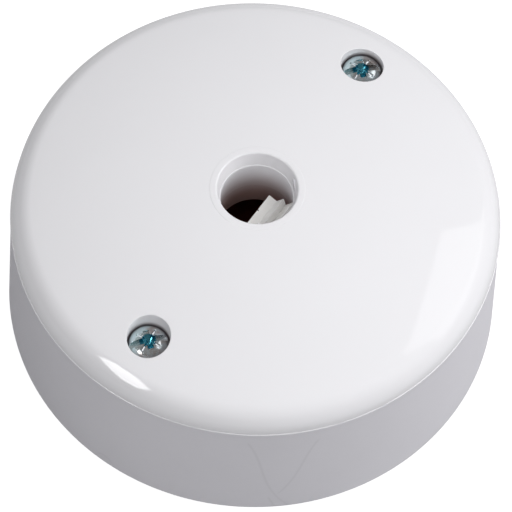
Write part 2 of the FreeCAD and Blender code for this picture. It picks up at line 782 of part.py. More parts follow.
def write(pieces):
    """One STEP file for each piece, named by its label."""
    os.makedirs("parts", exist_ok=True)
    for piece in pieces:
        piece.Shape.exportStep("parts/%s.step" % piece.Label)
        print("%-22s volume %9.2f mm3" % (piece.Label, piece.Shape.Volume))


made = make_all()
check(made)
write(made)
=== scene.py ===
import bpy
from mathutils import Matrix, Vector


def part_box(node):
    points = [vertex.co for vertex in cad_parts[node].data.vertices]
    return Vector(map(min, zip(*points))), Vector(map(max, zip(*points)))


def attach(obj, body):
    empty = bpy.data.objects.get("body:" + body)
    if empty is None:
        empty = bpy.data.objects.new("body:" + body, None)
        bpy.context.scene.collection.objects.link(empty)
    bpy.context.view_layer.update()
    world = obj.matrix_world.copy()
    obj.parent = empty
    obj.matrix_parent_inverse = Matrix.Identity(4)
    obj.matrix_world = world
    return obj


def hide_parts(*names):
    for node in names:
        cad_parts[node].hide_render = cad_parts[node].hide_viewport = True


bl_info = {
    "name": "Electrical ceiling rose",
    "version": (1, 0, 0),
    "blender": (4, 5, 0),
    "location": "View3D > Sidebar > Ceiling rose",
    "description": "Builds a white moulded ceiling rose with its screws, toothed jaw and studio stage",
    "category": "Add Mesh",
}

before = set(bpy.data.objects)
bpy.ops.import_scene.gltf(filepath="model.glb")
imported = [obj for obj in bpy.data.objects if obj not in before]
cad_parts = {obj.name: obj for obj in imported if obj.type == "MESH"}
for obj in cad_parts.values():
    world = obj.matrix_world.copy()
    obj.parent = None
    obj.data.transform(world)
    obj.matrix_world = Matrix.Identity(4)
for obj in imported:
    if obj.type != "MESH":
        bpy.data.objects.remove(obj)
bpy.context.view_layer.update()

import math

import bmesh
import bpy
import numpy as np
from bpy.props import FloatProperty, FloatVectorProperty, IntProperty, PointerProperty
from mathutils import Matrix, Vector
from mathutils.geometry import delaunay_2d_cdt

MM = 0.001
TURN = 2 * math.pi
SMALL = 1e-9
HAIR = 0.02 * MM
FOOT_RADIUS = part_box("cover")[1].x / MM
SCREW_LOW, SCREW_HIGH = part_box("cover_screw_right")
SCREW_PLACE = (SCREW_LOW.x + SCREW_HIGH.x) / 2 / MM
HEAD_RADIUS = (SCREW_HIGH.x - SCREW_LOW.x) / 2 / MM
HEAD_TRIM, HEAD_HEIGHT = 0.12, 2.6
SCREW_LENGTH = 20.0 * MM


# Sizes and colours that a user would change

def length(name, value, text):
    """A length property whose default is given in millimetres."""
    return FloatProperty(name=name, description=text, default=value * MM, precision=5, unit="LENGTH")


def angle(name, value, text):
    """An angle property whose default is given in degrees."""
    return FloatProperty(name=name, description=text, default=math.radians(value), subtype="ANGLE")


def colour(name, value, text):
    """A colour property of red, green and blue."""
    return FloatVectorProperty(
        name=name, description=text, default=value, size=3, min=0, max=1, subtype="COLOR")


def amount(name, value, text):
    """A plain number property."""
    return FloatProperty(name=name, description=text, default=value, precision=4)


def count(name, value, least, text):
    """A whole number property with a lowest value."""
    return IntProperty(name=name, description=text, default=value, min=least)


class CoverSizes(bpy.types.PropertyGroup):
    """Sizes of the white cover."""
    height: length("Height", 35.0, "Height of the ball's top above the ceiling")
    foot_radius: length("Foot radius", FOOT_RADIUS, "Radius of the cover's foot")
    draft: length("Skirt draft", 0.4, "How much the foot stands out beyond the face")
    dome_radius: length("Dome radius", 132.7, "Radius of the ball that the face is part of")
    edge_round: length("Edge rounding", 4.6, "Radius of the rounded edge of the face")
    edge_depth: length("Edge depth", 3.69, "Depth of the seam below the face's sharp corner")
    foot_wall: length("Foot wall", 2.3, "Thickness of the skirt at the foot")
    shell: length("Face wall", 2.5, "Thickness of the face")
    inner_round: length("Inner rounding", 2.3, "Radius of the rounding inside the edge")
    foot_round: length("Foot rounding", 0.4, "Radius of the rounding of the foot")
    bead_stand: length("Bead stand", 0.12, "How far the bead of flash stands out")
    bead_height: length("Bead height", 0.24, "Height of the bead of flash")
    band_stand: length("Band stand", 0.07, "How far the band below the bead stands out")
    band_height: length("Band height", 1.1, "Height of the band below the bead")
    collar_radius: length("Collar radius", 7.75, "Radius of the collar round the cord hole")
    collar_stand: length("Collar stand", 0.03, "How far the collar stands out of the face")
    collar_sink: length("Collar sink", 0.06, "How far the collar's top lies below the ball's top")
    mouth_round: length("Mouth rounding", 0.35, "Rounding of the hole's mouth")
    ledge: length("Ledge", 0.1, "Width of the rounded ledge where the mouth meets the bore")
    mouth_radius: length("Mouth radius", 6.55, "Radius of the cord hole at its mouth")
    mouth_depth: length("Mouth depth", 3.0, "Depth of the tapered mouth")
    bore_radius: length("Bore radius", 5.9, "Radius of the cord hole's land")
    land: length("Land", 1.3, "Length of the cord hole's land")
    relief: length("Relief", 0.25, "How much wider the bore is below its land")
    sleeve_radius: length("Sleeve radius", 7.7, "Outer radius of the sleeve")
    sleeve_depth: length("Sleeve depth", 14.7, "Depth of the sleeve's foot below the face")


class ScrewSizes(bpy.types.PropertyGroup):
    """Sizes of the cover screws and their recesses."""
    offset: length("Offset", SCREW_PLACE, "Distance of each cover screw from the centre")
    head_radius: length("Head radius", HEAD_RADIUS - HEAD_TRIM, "Radius of the screw's head")
    seat: length("Seat", SCREW_HIGH.z / MM - HEAD_HEIGHT, "Height of the head's seat above the ceiling")
    head_edge: length("Head edge", 0.2, "Height of the head's straight edge")
    head_crown: length("Head crown", 1.65, "Height of the crown above the head's edge")
    shank_radius: length("Shank radius", 1.75, "Radius over the thread")
    thread_pitch: length("Pitch", 0.6, "Distance between two threads")
    thread_depth: length("Thread depth", 0.2, "Depth of the thread")
    slot_width: length("Slot width", 0.9, "Width of the slot")
    slot_depth: length("Slot depth", 1.2, "Depth of the slot")
    cross_width: length("Cross width", 0.95, "Width of the cross's arms")
    cross_length: length("Cross length", 3.5, "Length over the cross's arms")
    cross_depth: length("Cross depth", 1.6, "Depth of the cross")
    turn_right: angle("Right screw's slot", -45, "Direction of the right screw's slot")
    turn_left: angle("Left screw's slot", -40, "Direction of the left screw's slot")
    recess_radius: length("Recess radius", 3.52, "Radius of the recess in the cover")
    rim_round: length("Recess rim", 0.12, "Rounding of the recess's rim")
    hole_radius: length("Hole radius", 1.95, "Radius of the hole under the head")
    boss_radius: length("Boss radius", 5.0, "Radius of the boss inside the cover")
    boss_length: length("Boss length", 4.4, "Length of the boss below the head's seat")


class GripSizes(bpy.types.PropertyGroup):
    """Sizes of the oblique channel that the toothed jaw slides in."""
    slope: angle("Slope", 50, "Slope of the channel below the ceiling's plane")
    start_y: length("Start across", -0.25, "Where the channel's line starts, from the centre")
    start_z: length("Start height", 28.0, "Where the channel's line starts, above the ceiling")
    thickness: length("Jaw thickness", 4.938, "Thickness of the jaw across its slope")
    gap: length("Gap", 0.1, "Gap between the jaw and its room")
    room_half: length("Room half width", 3.5, "Half the width of the jaw's room")
    room_floor: length("Room floor", 10.8, "Length of the room down its slope")
    block_half: length("Block half width", 5.1, "Half the width of the block round the room")
    block_low: length("Block low side", -1.7, "Low side of the block")
    block_high: length("Block high side", 6.64, "High side of the block")
    block_end: length("Block end", 16.2, "End of the block down its slope")
    pocket_half: length("Pocket half width", 2.8, "Half the width of the nut's pocket")
    pocket_start: length("Pocket start", 12.0, "Start of the nut's pocket down the slope")
    pocket_end: length("Pocket end", 14.6, "End of the nut's pocket down the slope")
    pocket_low: length("Pocket low side", -0.33, "Low side of the nut's pocket")
    screw_hole: length("Screw hole", 1.65, "Radius of the hole for the jaw's screw")
    jaw_round: length("Jaw rounding", 0.2, "Rounding of the jaw's edges")
    mark_share: amount("Mark width", 0.35, "Width of the jaw's centre mark as a share of its first width")


class Finishes(bpy.types.PropertyGroup):
    """Colours of the finishes."""
    cover: colour("Cover", (0.80, 0.795, 0.82), "Glossy white of the cover")
    skirt: colour("Skirt", (0.73, 0.72, 0.76), "Duller white of the cover's skirt")
    jaw: colour("Jaw", (0.87, 0.86, 0.84), "White of the toothed jaw and the screw rings")
    base: colour("Base", (0.10, 0.014, 0.010), "Dark brown of the base")
    zinc: colour("Zinc", (0.60, 0.66, 0.69), "Blue-grey of the plated screws")
    teal: colour("Teal", (0.10, 0.40, 0.50), "Deep blue-green of the plating inside the cross")
    # Painted reflection: pale blue laid on the far side of each head, where the heads reflect the bright
    # room
    zinc_painted_reflection: colour("Pale zinc", (0.72, 0.90, 0.93), "Pale blue at the far side of the heads")
    zinc_warm: colour("Warm zinc", (0.46, 0.41, 0.39), "Brownish grey of the plating's blotches")
    # Painted highlight: white lines laid along the ticks between the cross's arms, standing in for glints
    painted_glint: colour("Glint", (0.95, 0.97, 1.0), "White of the ticks between the cross's arms")
    # Painted shade: the brownish grey at the foot of the screw recesses stands in for the shade round the
    # heads
    recess: colour("Recess foot", (0.14, 0.12, 0.13), "Brownish grey at the foot of the screw recesses")
    # Painted shade: the brownish grey deep in the cord hole stands in for shade and for warm light thrown
    # back from the dark base
    sleeve: colour("Sleeve foot", (0.30, 0.19, 0.17), "Brownish grey deep in the cord hole")
    steel: colour("Steel", (0.66, 0.66, 0.64), "Grey of the terminal screws")
    steel_dark: colour("Dark steel", (0.48, 0.49, 0.50), "Grey of the steel's blotches")
    brass: colour("Brass", (0.78, 0.58, 0.28), "Yellow of the terminals")
    brass_dark: colour("Dark brass", (0.62, 0.42, 0.18), "Brown of the brass's blotches")
    floor: colour("Floor", (0.28, 0.28, 0.29), "Grey that the floor reflects on the rose")
    room: colour("Room", (1.0, 1.0, 1.0), "Tint of the light from all round")


class StageSizes(bpy.types.PropertyGroup):
    """The camera's place and the strength of the lights."""
    azimuth: angle("Azimuth", 31.03, "Direction that the camera looks in, seen from above")
    elevation: angle("Elevation", 61.0, "How steeply the camera looks down")
    roll: angle("Roll", 3.52, "Turn of the camera about its line of sight")
    distance: length("Distance", 1000.0, "Distance from the camera to the point it looks at")
    target_x: length("Target x", -4.512, "Point that the camera looks at, along x")
    target_y: length("Target y", -3.229, "Point that the camera looks at, along y")
    target_z: length("Target z", 22.26, "Point that the camera looks at, above the ceiling")
    lens: FloatProperty(name="Lens", description="Focal length in millimetres", default=432.27, max=5000)
    room: amount("Room light", 0.18, "Brightness of the room's even light")
    ceiling: amount("Ceiling light", 0.38, "Brightness of the room's light from straight above")
    key: amount("Key light", 4.95, "Power of the large soft light in watts")
    front: amount("Front light", 3.0, "Power of the wide soft light behind the camera in watts")
    floor_size: length("Floor size", 4000.0, "Side of the square floor")


class Detail(bpy.types.PropertyGroup):
    """How finely the surfaces are divided."""
    rounds: count("Rounds", 384, 192, "Columns round the cover")
    small_rounds: count("Small rounds", 96, 24, "Columns round a screw recess")
    head_rounds: count("Head rounds", 256, 48, "Columns round a screw head")
    step: length("Step", 0.8, "Distance between the rings of points on the face")


# Surfaces as arrays of points

ROUND_POINTS = 7
SEAM_MERGE = 0.0008 * MM
# How a plate's rings grow away from a hole, and their clearances in steps
RING_GROWTH = (1.0, 1.4, 2.0)
EDGE_CLEAR, RIM_CLEAR, HOLE_CLEAR = 0.75, 0.5, 0.6
FEWEST_POINTS = 6
PLAN_MERGE = 1e-5


class Surface:
    """Points and faces of several patches, joined at the end into one closed mesh."""

    def __init__(self):
        self.points = []
        self.corners = []
        self.sizes = []
        self.count = 0

    def add(self, points, faces):
        """Adds points and faces of three or four of them each."""
        faces = np.asarray(faces)
        self.points.append(points)
        self.corners.append((faces + self.count).ravel())
        self.sizes.append(np.full(len(faces), faces.shape[1]))
        self.count += len(points)

    def grid(self, *rows, keep=None):
        """Joins rows of points into quads that close round, or only the kept columns of them."""
        points = np.stack(rows)
        index = np.arange(points.size // 3).reshape(points.shape[:2])
        after = np.roll(index, -1, axis=1)
        quads = np.stack([index[:-1], after[:-1], after[1:], index[1:]], -1)
        if keep is not None:
            quads = quads[:, keep]
        self.add(points.reshape(-1, 3), quads.reshape(-1, 4))

    def mesh(self, name, sharp):
        """Joins the patches, merges their seams, turns faces outwards and smooths all but sharp edges."""
        mesh = bpy.data.meshes.new(name)
        points, corners, sizes = (np.concatenate(part) for part in (self.points, self.corners, self.sizes))
        mesh.vertices.add(len(points))
        mesh.vertices.foreach_set("co", points.ravel())
        mesh.loops.add(len(corners))
        mesh.loops.foreach_set("vertex_index", corners)
        mesh.polygons.add(len(sizes))
        mesh.polygons.foreach_set("loop_start", np.cumsum(sizes) - sizes)
        mesh.update(calc_edges=True)

        def drop_slivers(work):
            bmesh.ops.dissolve_degenerate(work, edges=work.edges, dist=SMALL)

        rework(mesh, SEAM_MERGE, drop_slivers, sharp)
        return mesh


def rework(mesh, merge, change, sharp):
    """Merges double points of a mesh, makes a change to it, turns its faces outwards and smooths it
    up to the sharp angle in degrees."""
    work = bmesh.new()
    work.from_mesh(mesh)
    bmesh.ops.remove_doubles(work, verts=work.verts, dist=merge)
    change(work)
    bmesh.ops.recalc_face_normals(work, faces=work.faces)
    work.to_mesh(mesh)
    work.free()
    mesh.shade_smooth()
    mesh.set_sharp_from_angle(angle=math.radians(sharp))


def round_angles(count):
    """Evenly spaced angles of a full turn."""
    return np.arange(count) * TURN / count


def polar(radius, turn, height=None):
    """Points x = r cos a and y = r sin a, with z = height where a height is given."""
    parts = [radius * np.cos(turn), radius * np.sin(turn)]
    if height is not None:
        parts.append(height + 0 * parts[0])
    return np.stack(parts, -1)


def turned(profile, angles, centre=0.0):
    """A profile of radius and height carried round an upright axis: x = centre + r cos a, y = r sin a."""
    points = polar(profile[:, 0, None], angles, profile[:, 1, None])
    points[..., 0] += centre
    return points


def rounded(corners):
    """A line through corners of radius, height and rounding.
    Each rounding is the arc of that radius that touches the two lines at its corner."""
    corners = [np.array(corner, float) for corner in corners]
    points = []
    for place, corner in enumerate(corners):
        here, size = corner[:2], corner[2]
        if size <= 0:
            points.append(here[None])
            continue
        back = corners[place - 1][:2] - here
        ahead = corners[place + 1][:2] - here
        back /= np.linalg.norm(back)
        ahead /= np.linalg.norm(ahead)
        half = math.acos(np.clip(back @ ahead, -1, 1)) / 2
        run = size / math.tan(half)
        middle = (back + ahead) / np.linalg.norm(back + ahead)
        centre = here + middle * size / math.sin(half)
        first = here + back * run - centre
        last = here + ahead * run - centre
        start = math.atan2(first[1], first[0])
        sweep = (math.atan2(last[1], last[0]) - start + math.pi) % TURN - math.pi
        points.append(centre + polar(size, start + sweep * np.linspace(0, 1, ROUND_POINTS)))
    return np.concatenate(points)


def ball(radius, centre_height):
    """Height of a ball's upper half in plan: centre plus the root of R squared less x and y squared."""
    def height(x, y):
        return centre_height + np.sqrt(radius ** 2 - x ** 2 - y ** 2)
    return height


def plate(surface, outline, holes, height, step):
    """A round plate with round holes, triangulated in plan and lifted to z = height(x, y).
    Rings of points, a step apart, fill it; rings round each hole keep its triangles even."""
    loops = [ring[:, :2] for ring in [outline] + holes]
    reach = np.linalg.norm(loops[0], axis=1).max()
    fill = [np.zeros((1, 2))]
    for radius in np.arange(step, reach, step):
        fill.append(polar(radius, round_angles(max(FEWEST_POINTS, int(TURN * radius / step)))))
    fill = np.concatenate(fill)
    keep = np.linalg.norm(fill, axis=1) < reach - EDGE_CLEAR * step
    rims = []
    for loop in loops[1:]:
        centre = (loop.max(0) + loop.min(0)) / 2
        away = np.linalg.norm(loop - centre, axis=1).max()
        ring_step = TURN * away / len(loop)
        for grow in RING_GROWTH:
            ring_step = min(step, ring_step * grow)
            away += ring_step
            rim = centre + polar(away, round_angles(int(TURN * away / ring_step)))
            rims.append(rim[np.linalg.norm(rim, axis=1) < reach - RIM_CLEAR * ring_step])
        keep &= np.linalg.norm(fill - centre, axis=1) > away + HOLE_CLEAR * step
    flat = np.concatenate(loops + [fill[keep]] + rims)
    edges, ranges, start = [], [], 0
    for loop in loops:
        index = np.arange(start, start + len(loop))
        edges.append(np.stack([index, np.roll(index, -1)], -1))
        ranges.append((start, start + len(loop)))
        start += len(loop)
    spots = [Vector(spot) for spot in (flat / MM).tolist()]
    made = delaunay_2d_cdt(spots, np.concatenate(edges).tolist(), [], 0, PLAN_MERGE)
    triangles = np.array([face for face in made[2] if len(face) == 3])
    source = np.array([ids[0] if ids else -1 for ids in made[3]])
    flat = np.array([tuple(spot) for spot in made[0]]) * MM
    drop = np.zeros(len(triangles), bool)
    for low, high in ranges[1:]:
        on_loop = (source >= low) & (source < high)
        drop |= on_loop[triangles].all(1)
    surface.add(np.column_stack([flat, height(flat[:, 0], flat[:, 1])]), triangles[~drop])


# The cover

# Nicks in the bead of flash: angle and width in degrees, depth as a share of the stand
BEAD_NICKS = ((-160.2, 0.8, 0.8), (-126.3, 1.2, 0.7), (-114.9, 0.9, 0.9))
EDGE_ROWS, INNER_ROWS, SKIRT_ROWS, BEAD_ROWS, RIM_ROWS = 20, 12, 26, 9, 6
BAND_SLOPE, BAND_ROUND = 0.05 * MM, 0.04 * MM
FOOT_CLEAR = 1.5
INNER_FOOT_ROUND = 0.2 * MM
RECESS_ROUND, RECESS_RUN = 0.15 * MM, 1.0 * MM
COLLAR_ROUND, LAND_ROUND = 0.04 * MM, 0.05 * MM
LEDGE_RISE, LEDGE_DROP, LEDGE_ROUND = 0.04 * MM, 0.06 * MM, 0.14 * MM
WINDOW_COLUMNS = 48
BLOCK_COLUMNS = 48
ANGLE_DIGITS, SAME_PLACE = 9, 0.0001 * MM


def bead_line(angles):
    """Stand of the bead of flash round the cover, from 0 to 1, with the small nicks seen in it."""
    degrees = np.degrees((angles + math.pi) % TURN - math.pi)
    stand = np.ones_like(angles)
    for nick, width, depth in BEAD_NICKS:
        stand -= depth * np.exp(-((degrees - nick) / width) ** 2)
    return stand


def cover_wall(surface, size, detail):
    """The cover's edge, seam, skirt, foot and inner wall: a profile turned about the centre.
    The bead of flash is a half round whose stand changes with the angle."""
    angles = round_angles(detail.rounds)
    face = size.foot_radius - size.draft
    ball_z = size.height - size.dome_radius
    seam = ball_z + math.sqrt(size.dome_radius ** 2 - face ** 2) - size.edge_depth
    half = size.bead_height / 2
    band_top = seam - size.bead_height
    band_foot = band_top - size.band_height

    def drafted(height):
        """The skirt's radius at a height, growing evenly from the seam to the foot."""
        return face + size.draft * (seam - height) / seam

    def edge_arc(reach, dome, rounding, count):
        """The rounding that runs from a ball down into an upright wall, as radius and height."""
        middle = reach - rounding
        arc_z = ball_z + math.sqrt((dome - rounding) ** 2 - middle ** 2)
        bend = np.linspace(math.atan2(arc_z - ball_z, middle), 0, count)
        return polar(rounding, bend) + (middle, arc_z)

    edge = np.concatenate([edge_arc(face, size.dome_radius, size.edge_round, EDGE_ROWS), [[face, seam]]])
    around = np.linspace(0, math.pi, BEAD_ROWS)
    bead = np.stack([face + size.bead_stand * np.sin(around), seam - half + half * np.cos(around)], -1)
    foot_run = np.linspace(band_foot, size.foot_round * FOOT_CLEAR, SKIRT_ROWS)
    skirt = np.stack([drafted(foot_run), foot_run], -1)
    band = rounded([
        (face, band_top, 0),
        (drafted(band_top) + size.band_stand, band_top - HAIR, 0),
        (drafted(band_foot) + size.band_stand, band_foot + BAND_SLOPE, BAND_ROUND),
        (*skirt[0], 0),
    ])
    inner_dome = size.dome_radius - size.shell
    inside = edge_arc(face - size.foot_wall, inner_dome, size.inner_round, INNER_ROWS)[::-1]
    foot = rounded([
        (*skirt[-1], 0),
        (size.foot_radius, 0, size.foot_round),
        (face + size.draft - size.foot_wall, 0, INNER_FOOT_ROUND),
        (*inside[0], 0),
    ])
    points = turned(np.concatenate([edge, bead, band, skirt, foot, inside]), angles)
    radius = face + (bead[:, 0, None] - face) * bead_line(angles)
    points[len(edge):len(edge) + len(bead), :, :2] = polar(radius, angles)
    surface.grid(*points)
    return points[0], points[-1]


def screw_recess(surface, screw, detail, outer, inner, centre):
    """A screw's recess, hole and boss, turned about the screw's own axis.
    The rim's rounding follows the face: z = face height less the rounding's drop."""
    angles = round_angles(detail.small_rounds)
    seat = screw.seat
    foot = seat - screw.boss_length
    points = turned(rounded([
        (screw.recess_radius, seat + RECESS_RUN, 0),
        (screw.recess_radius, seat, RECESS_ROUND),
        (screw.hole_radius, seat, RECESS_ROUND / 2),
        (screw.hole_radius, foot, RECESS_ROUND / 2),
        (screw.boss_radius, foot, RECESS_ROUND),
        (screw.boss_radius, foot + RECESS_RUN, 0),
    ]), angles, centre)
    bend = np.linspace(0, math.pi / 2, RIM_ROWS)
    rim_radius = screw.recess_radius + screw.rim_round * (1 - np.sin(bend))
    rim = turned(np.stack([rim_radius, 0 * bend], -1), angles, centre)
    rim[..., 2] = outer(rim[..., 0], rim[..., 1]) - (screw.rim_round * (1 - np.cos(bend)))[:, None]
    root = turned(np.array([[screw.boss_radius, 0]]), angles, centre)
    root[..., 2] = inner(root[..., 0], root[..., 1])
    surface.grid(*rim, *points, *root)
    return rim[0], root[0]


def cord_hole(surface, size, grip, detail, outer, inner):
    """The collar, tapered mouth, land and sleeve of the cord hole, turned about the centre.
    Columns share x out evenly across the jaw's window and the angle elsewhere, at every radius,
    so that the window's upright sides are columns. Its sloping top and bottom are
    z = start + (across + (y - start y) sin slope) / cos slope."""
    half = grip.room_half + HAIR
    outside_count = detail.rounds // 2 - WINDOW_COLUMNS
    sine, cosine = math.sin(grip.slope), math.cos(grip.slope)
    share = np.linspace(-1, 1, WINDOW_COLUMNS + 1)
    in_window = np.arange(WINDOW_COLUMNS + outside_count) < WINDOW_COLUMNS
    outside = ~in_window

    def ring(radius, height):
        within = np.arcsin(share * half / radius)
        beyond = np.linspace(within[-1], TURN - within[-1], outside_count + 1)[1:-1]
        return polar(radius, np.concatenate([within, beyond]) - math.pi / 2, height)

    def sloped(radius, across):
        """A ring whose height in the window is the sloping plane's, and the window side's elsewhere."""
        points = ring(radius, 0.0)
        side_y = -math.sqrt(radius ** 2 - half ** 2)
        y = np.where(np.arange(len(points)) <= WINDOW_COLUMNS, points[:, 1], side_y)
        points[:, 2] = grip.start_z + (across + (y - grip.start_y) * sine) / cosine
        return points

    lip = size.height - size.collar_sink - size.mouth_depth
    land_foot = lip - size.land
    foot = size.height - size.sleeve_depth
    relief = size.bore_radius + size.relief
    stand = size.collar_stand
    edge = size.collar_radius - stand
    rows = [ring(radius, height) for radius, height in rounded([
        (size.collar_radius, outer(size.collar_radius, 0.0), 0),
        (edge, outer(edge, 0.0) + stand, COLLAR_ROUND),
        (size.mouth_radius, outer(size.mouth_radius, 0.0) + stand, size.mouth_round),
        (size.bore_radius + size.ledge, lip + LEDGE_RISE, LAND_ROUND),
        (size.bore_radius, lip - LEDGE_DROP, LEDGE_ROUND),
        (size.bore_radius, land_foot, LAND_ROUND),
        (relief, land_foot, 0),
    ])]
    room_top = grip.thickness + grip.gap + HAIR
    room_low = -grip.gap - HAIR
    top_in, low_in = sloped(relief, room_top), sloped(relief, room_low)
    top_out = sloped(size.sleeve_radius, room_top)
    foot_in, foot_out = ring(relief, foot), ring(size.sleeve_radius, foot)
    middle_y = grip.start_y + ((foot - grip.start_z) * cosine - room_low) / sine
    foot_middle = ring(math.hypot(half, middle_y), foot)
    foot_middle[:WINDOW_COLUMNS + 1, 1] = middle_y
    foot_middle[:WINDOW_COLUMNS + 1, 0] = share * half
    root = ring(size.sleeve_radius, inner(size.sleeve_radius, 0.0))
    surface.grid(*rows)
    surface.grid(rows[-1], top_in)
    surface.grid(top_in, low_in, keep=outside)
    surface.grid(low_in, foot_in)
    surface.grid(foot_in, foot_middle)
    surface.grid(foot_middle, foot_out, keep=outside)
    surface.grid(foot_out, top_out, keep=outside)
    surface.grid(top_out, root)
    surface.grid(top_in, top_out, keep=in_window)
    surface.grid(low_in, foot_middle, keep=in_window)
    for column in (0, WINDOW_COLUMNS):
        side = np.stack([piece[column] for piece in (top_in, low_in, foot_middle, foot_out, top_out)])
        surface.add(side, [[0, 1, 2, 4]])
        surface.add(side, [[2, 3, 4]])
    return rows[0], root


def channel_block(surface, size, grip):
    """The oblique block round the jaw's room and the nut's pocket, as one closed loft.
    Each section is a box or a circle seen down the slope from the screw's line, with the same columns;
    a box's point lies where the column's ray meets its nearest side. Down, across and x become
    y = start y - down cos slope - across sin slope and z = start z - down sin slope + across cos slope."""
    sine, cosine = math.sin(grip.slope), math.cos(grip.slope)
    axis = grip.thickness / 2
    end_radius = size.bore_radius + size.relief + HAIR
    block = (grip.block_half, grip.block_low, grip.block_high)
    room = (grip.room_half, -grip.gap, grip.thickness + grip.gap)
    pocket = (grip.pocket_half, grip.pocket_low, grip.block_high)
    turns = [round_angles(BLOCK_COLUMNS)]
    for half, low, high in (block, room, pocket):
        up, down = high - axis, low - axis
        turns.append(np.arctan2([up, up, down, down], [half, -half, -half, half]) % TURN)
    turns = np.unique(np.round(np.concatenate(turns), ANGLE_DIGITS))
    side, rise = np.cos(turns), np.sin(turns)

    def box(half, low, high):
        reach = half / np.maximum(np.abs(side), SMALL)
        level = np.where(rise > 0, high - axis, axis - low)
        reach = np.minimum(reach, level / np.maximum(np.abs(rise), SMALL))
        return reach * side, axis + reach * rise

    def section(shape, down=None):
        """A box or a circle at a place down the slope, or where the block's end meets the bore."""
        if isinstance(shape, tuple):
            x, across = box(*shape)
        else:
            x, across = shape * side, axis + shape * rise
        if down is None:
            down = (grip.start_y - across * sine + np.sqrt(end_radius ** 2 - x ** 2)) / cosine
        y = grip.start_y - down * cosine - across * sine
        z = grip.start_z - down * sine + across * cosine
        return np.stack([x, y, z], -1)

    x, across = box(*block)
    at_mouth = (across > grip.block_high - SAME_PLACE) & (np.abs(x) < grip.pocket_half + SAME_PLACE)
    closed = ~(at_mouth & np.roll(at_mouth, -1))
    start, end, hole = grip.pocket_start, grip.pocket_end, grip.screw_hole
    surface.grid(section(block), section(block, start))
    surface.grid(section(block, start), section(block, end), keep=closed)
    surface.grid(
        section(block, end), section(block, grip.block_end), section(hole, grip.block_end),
        section(hole, end), section(pocket, end))
    surface.grid(section(pocket, end), section(pocket, start), keep=closed)
    surface.grid(
        section(pocket, start), section(hole, start), section(hole, grip.room_floor),
        section(room, grip.room_floor), section(room), section(block))


def cover_mesh(scene):
    """The whole cover: domed face, edge, skirt, inside, cord hole, screw recesses and grip channel."""
    size, screw, grip, detail = scene.rose_cover, scene.rose_screw, scene.rose_grip, scene.rose_detail
    ball_z = size.height - size.dome_radius
    outer = ball(size.dome_radius, ball_z)
    inner = ball(size.dome_radius - size.shell, ball_z)
    surface = Surface()
    outline, inner_outline = cover_wall(surface, size, detail)
    rims, roots = [], []
    for centre in (screw.offset, -screw.offset):
        rim, root = screw_recess(surface, screw, detail, outer, inner, centre)
        rims.append(rim)
        roots.append(root)
    rim, root = cord_hole(surface, size, grip, detail, outer, inner)
    plate(surface, outline, [rim] + rims, outer, detail.step)
    plate(surface, inner_outline, [root] + roots, inner, 2 * detail.step)
    channel_block(surface, size, grip)
    return surface.mesh("cover_moulding", sharp=30)


# The cover screws

HEAD_ROWS = 72
HEAD_START, HEAD_STOP, HEAD_EDGE_SHARES = 0.05 * MM, 0.97, (0.98, 0.99, 0.996, 1)
HEAD_SIDE, HEAD_SIDE_ROUND = 0.3 * MM, 0.12 * MM
CROWN_POWER, CROWN_ROOT = 2.6, 0.53
CUT_SLOPE = 0.09 * MM
CORE_HALF = 0.82 * MM
# How the cross grows shallower outwards: its depth in the middle and its least, as shares
CROSS_FULL, CROSS_LEAST = 1.12, 0.3
TICK_HALF, TICK_DEPTH = 0.22 * MM, 0.3 * MM
TICK_START, TICK_END, TICK_FADE = 0.9 * MM, 2.3 * MM, 0.2 * MM
SHANK_COLUMNS, ROWS_PER_THREAD = 48, 8
NECK, NECK_FADE = 1.2 * MM, 1.0 * MM
TIP, TIP_FADE, TIP_TAPER = 0.8 * MM, 0.6 * MM, 0.5 * MM
SHANK_SUNK = 0.1 * MM


def step_up(value, low, high):
    """A smooth step from 0 at low to 1 at high."""
    share = np.clip((value - low) / (high - low), 0, 1)
    return share * share * (3 - 2 * share)


